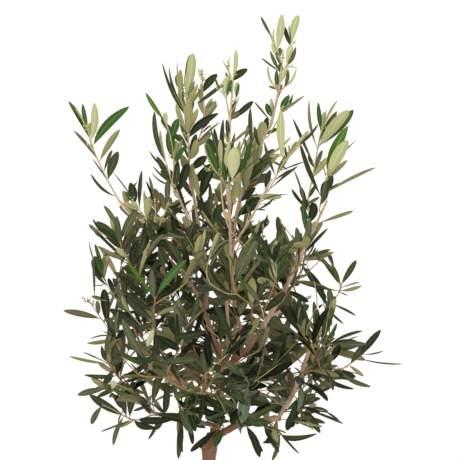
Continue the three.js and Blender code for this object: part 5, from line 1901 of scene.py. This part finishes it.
def pot_outline():
    """The radii and heights of the pot's wall, from the foot's rim over the top to the floor inside."""
    rim_foot = POT_HEIGHT - RIM_HEIGHT
    wall_top = POT_TOP_RADIUS - RIM_SLOPE - RIM_PROUD
    corners = [
        (0.0, 0.0, 0), (POT_FOOT_RADIUS - 0.5, 0.0, 3.0),
        (wall_top, rim_foot, 1.5), (wall_top + RIM_PROUD, rim_foot + 1.0, 2.2),
        (POT_TOP_RADIUS - 0.4, POT_HEIGHT, 3.5), (inside_radius(POT_HEIGHT), POT_HEIGHT, 3.5),
        (inside_radius(POT_FLOOR), POT_FLOOR, 4.0), (0.0, POT_FLOOR, 0),
    ]
    return rounded(corners)[1:-1].T


def pot_edges(radii, heights):
    """How much each ring lies on an edge that wears: the rim's foot and top, and the pot's foot."""
    rim_foot = POT_HEIGHT - RIM_HEIGHT
    band = ease(heights, rim_foot - 1, rim_foot + 1) * (1 - ease(heights, rim_foot + 2, rim_foot + 5))
    top = ease(heights, POT_HEIGHT - 5, POT_HEIGHT - 0.5)
    edge = np.maximum(band, top) * (radii > inside_radius(heights) + 1.5)
    foot = (1 - ease(heights, 1, 5)) * ease(radii, POT_FOOT_RADIUS - 6, POT_FOOT_RADIUS - 3)
    return np.maximum(edge, foot)[:, None]


def make_pot():
    """The clay pot: a turned wall with slight waves, a rolled rim and three drain holes."""
    radii, heights = pot_outline()
    rings, angles = len(radii), round_angles(POT_AROUND)
    spots = np.broadcast_arrays(np.cos(angles)[None], np.sin(angles)[None], heights[:, None] / WAVE_RISE)
    spots = np.stack(spots, -1).reshape(-1, 3)
    sway = np.array([noise.noise(Vector(spot * SWAY_RATE)) for spot in spots]).reshape(rings, -1)
    dents = np.array([noise.noise(Vector(spot * CHIP_RATE + 5)) for spot in spots]).reshape(rings, -1)
    edge = pot_edges(radii, heights)
    chips = edge * ease(dents, *CHIPPED)
    outer = np.arange(rings) < np.argmax(heights)
    turning = TURNING_DEPTH * np.sin(heights * TURNING_RATE) * outer * (heights > TURNED_FROM)
    wide = (radii + turning)[:, None] - np.abs(sway) * SWAY_DEPTH - chips * CHIP_DEPTH
    in_rim = ease(heights, POT_HEIGHT - RIM_HEIGHT, POT_HEIGHT)[:, None]
    tall = heights[:, None] - chips * CHIP_DROP * in_rim
    points = np.stack([wide * np.cos(angles), wide * np.sin(angles), tall], -1).reshape(-1, 3)
    points = np.concatenate([points, [[0, 0, 0], [0, 0, POT_FLOOR]]]) * MM
    faces = [band_faces(rings, POT_AROUND)[: (rings - 1) * POT_AROUND * 2, ::-1]]
    around = np.arange(POT_AROUND)
    for centre, row, order in ((len(points) - 2, 0, 1), (len(points) - 1, rings - 1, -1)):
        start = row * POT_AROUND
        cap = [np.full(POT_AROUND, centre), start + (around + 1) % POT_AROUND, start + around]
        faces.append(np.stack(cap, -1)[:, ::order])
    pot = mesh_object("pot_clay", points, np.concatenate(faces))
    worn = (edge * ease(sway, *WORN)).ravel()
    note(pot.data, "edge", np.concatenate([worn, [0, 0]]))

    drills = Pile()
    for angle in round_angles(DRAIN_HOLES) + math.pi / 6:
        place = np.array([math.cos(angle), math.sin(angle), 0]) * DRAIN_RING * MM
        core = place + UP * np.array([-DRILL_PAST, POT_FLOOR + DRILL_PAST])[:, None] * MM
        drills.add(*tube(core, [DRAIN_RADIUS * MM] * 2, DRILL_SIDES))
    drill = drills.mesh("drill")
    cut = pot.modifiers.new("cut", "BOOLEAN")
    cut.object = drill
    cut.operation = "DIFFERENCE"
    pot.data = with_modifiers(pot)
    pot.modifiers.clear()
    bpy.data.objects.remove(drill)
    pot.data.materials.clear()
    pot.data.materials.append(clay_paint())
    pot.data.set_sharp_from_angle(angle=SHARP_ANGLE)
    settle(pot, ["pot"])


make_pot()

# Soil, in millimetres

SOIL_RINGS, SOIL_AROUND = 56, 150
MIDDLE_RADIUS, FIRST_RING = 0.01, 0.02  # millimetres, and a share of the soil's radius
EDGE_DROP, EDGE_WIDTH = 3.0, 12.0
SOIL_CLEAR = 0.3  # between the soil and the pot
CORE_HEIGHTS = (140.0, 90.0, POT_FLOOR + 0.4)
SOIL_NOISE, CRUMB_NOISE = (0.7, 2.0, 3), (0.6, 2.0, 3)
UNEVEN_SPAN, UNEVEN_RISE = 26, 1.3
CRUMB_SPAN, CRUMB_RISE = 4, 0.9
MOUND_RISE, MOUND_ENDS = 1.6, (12, 34)
SOIL_LOWER = 0.6
SOIL_TONE, TONE_RANGE, TONE_RATE = 0.22, 0.2, 90
CRUMBS = ((420, 0.9, 2.0, 1), (260, 1.8, 3.6, 2))  # how many, least and greatest radius, and fineness
CRUMB_SHAPE, CRUMB_TONES = np.array([1.2, 1.0, 0.8]), (0.05, 0.6)
CHIPS, CHIP_LENGTHS, CHIP_WIDTHS, CHIP_TONES = 70, (3.5, 7.5), (0.25, 0.5), (0.6, 0.86)
GRAINS, GRAIN_RADII, GRAIN_TONES = 70, (0.7, 1.5), (0.96, 1.0)
LUMP_RATE, LUMP_DENTS = 1.3, 0.45
SOIL_MARGIN = 4  # the lumps' middles keep this far from the soil's edge


def lump_shape(fineness):
    """The points and triangles of a ball."""
    ball = bmesh.new()
    bmesh.ops.create_icosphere(ball, subdivisions=fineness, radius=1.0)
    points = np.array([vertex.co for vertex in ball.verts])
    faces = np.array([[vertex.index for vertex in face.verts] for face in ball.faces])
    ball.free()
    return points, faces


def soil_height(x, y):
    """The soil's height: uneven, lower at the pot's wall and a little higher round the trunk."""
    out = math.hypot(x, y)
    edge = inside_radius(SOIL_TOP)
    drop = EDGE_DROP * ease(out, edge - EDGE_WIDTH, edge)
    waves = noise.fractal(Vector((x / UNEVEN_SPAN, y / UNEVEN_SPAN, 0.3)), *SOIL_NOISE) * UNEVEN_RISE
    crumbs = noise.fractal(Vector((x / CRUMB_SPAN, y / CRUMB_SPAN, 2.1)), *CRUMB_NOISE) * CRUMB_RISE
    mound = MOUND_RISE * (1 - ease(out, *MOUND_ENDS))
    return SOIL_TOP - drop - SOIL_LOWER + waves + crumbs + mound


def make_soil():
    """The soil: an uneven top with crumbs, bark chips and white grains, over a plain core."""
    pile = Pile()
    draw = np.random.default_rng(SEED + 9)
    edge = inside_radius(SOIL_TOP - EDGE_DROP) - SOIL_CLEAR
    ways = [(math.cos(angle), math.sin(angle)) for angle in round_angles(SOIL_AROUND)]
    rows = [[(MIDDLE_RADIUS * x, MIDDLE_RADIUS * y, soil_height(0, 0)) for x, y in ways]]
    for radius in edge * np.linspace(FIRST_RING, 1.0, SOIL_RINGS):
        rows.append([(radius * x, radius * y, soil_height(radius * x, radius * y)) for x, y in ways])
    for height in CORE_HEIGHTS:
        wall = inside_radius(height) - SOIL_CLEAR
        rows.append([(wall * x, wall * y, height) for x, y in ways])
    points = np.array(rows).reshape(-1, 3) * MM
    pile.add(points, band_faces(len(rows), SOIL_AROUND)[:, ::-1])
    shade = [noise.fractal(Vector(point) * TONE_RATE, *SOIL_NOISE) for point in points]
    tones = [SOIL_TONE + TONE_RANGE * np.array(shade)]

    def scatter(shape, radii, tipping, lump_tones, rise):
        """One lump on the soil, in a tone of its range."""
        out = (edge - SOIL_MARGIN) * math.sqrt(draw.uniform(0.02, 1))
        angle = draw.uniform(0, 2 * math.pi)
        x, y = out * math.cos(angle), out * math.sin(angle)
        balls, faces = shape
        dents = [noise.noise(Vector(ball * LUMP_RATE + draw.uniform(0, 50, 1))) for ball in balls]
        local = balls * (1 + LUMP_DENTS * np.array(dents))[:, None] * radii
        spin, tip = draw.uniform(0, 2 * math.pi), draw.normal(0, tipping)
        local = np.array([turned(turned(part, np.array([1.0, 0, 0]), tip), UP, spin) for part in local])
        pile.add((np.array([x, y, soil_height(x, y) + rise]) + local) * MM, faces)
        tones.append(np.full(len(balls), draw.uniform(*lump_tones)))

    for amount, least, most, fineness in CRUMBS:
        shape = lump_shape(fineness)
        for _ in range(amount):
            radius = draw.uniform(least, most)
            scatter(shape, CRUMB_SHAPE * radius, 0.5, CRUMB_TONES, 0.1 * radius)
    shape = lump_shape(2)
    for _ in range(CHIPS):
        long = draw.uniform(*CHIP_LENGTHS)
        scatter(shape, np.array([long, long * draw.uniform(*CHIP_WIDTHS), 0.9]), 0.3, CHIP_TONES, 0.5)
    shape = lump_shape(1)
    for _ in range(GRAINS):
        scatter(shape, np.full(3, draw.uniform(*GRAIN_RADII)), 0.5, GRAIN_TONES, 0.3)
    soil = pile.build("soil_compost", [soil_paint()], ["soil"])
    note(soil.data, "tone", np.concatenate(tones))


make_soil()

# Camera, floor and light

FLOOR_SIDES = 96
FLOOR_COLOUR = (230, 232, 235)
WORLD_COLOUR = (1.0, 0.975, 0.94, 1)
WORLD_STRENGTH = 1.075  # its blue reaches the display's white, so the surroundings show as white
LAMP_COLOUR = (1.0, 0.95, 0.86)
LAMPS = (("key", (-1.3, -2.0, 2.4), 1.4, 40), ("fill", (1.8, -1.6, 1.2), 1.6, 12))  # place, size and watts


def make_camera():
    """A camera at crown level, straight in front."""
    data = bpy.data.cameras.new("camera")
    data.sensor_width = SENSOR_WIDTH
    data.lens = SENSOR_WIDTH * VIEW_DISTANCE / VIEW_WIDTH
    camera = in_scene("camera", data)
    camera.location = EYE
    camera.rotation_euler = (math.pi / 2, 0, 0)
    bpy.context.scene.camera = camera


def make_floor():
    """A round pale floor."""
    angles = round_angles(FLOOR_SIDES)
    rim = np.stack([np.cos(angles), np.sin(angles), np.zeros(FLOOR_SIDES)], -1) * FLOOR_RADIUS * MM
    fan = np.arange(FLOOR_SIDES)
    faces = np.stack([np.zeros(FLOOR_SIDES, int), fan + 1, (fan + 1) % FLOOR_SIDES + 1], -1)
    floor = mesh_object("floor", np.concatenate([[[0, 0, 0]], rim]), faces)
    floor.data.materials.append(plain("floor_pale", FLOOR_COLOUR, 0.9))


def make_light():
    """White surroundings and two large soft lamps."""
    world = bpy.data.worlds.new("white")
    world.use_nodes = True
    world.node_tree.nodes["Background"].inputs["Color"].default_value = WORLD_COLOUR
    world.node_tree.nodes["Background"].inputs["Strength"].default_value = WORLD_STRENGTH
    bpy.context.scene.world = world
    bpy.context.scene.view_settings.view_transform = "Standard"
    for name, place, size, watts in LAMPS:
        data = bpy.data.lights.new(name, "AREA")
        data.color, data.size, data.energy = LAMP_COLOUR, size, watts
        lamp = in_scene(name, data)
        lamp.location = place
        lamp.rotation_euler = (Vector(VIEW_CENTRE) - Vector(place)).to_track_quat("-Z", "Y").to_euler()


make_camera()
make_floor()
make_light()
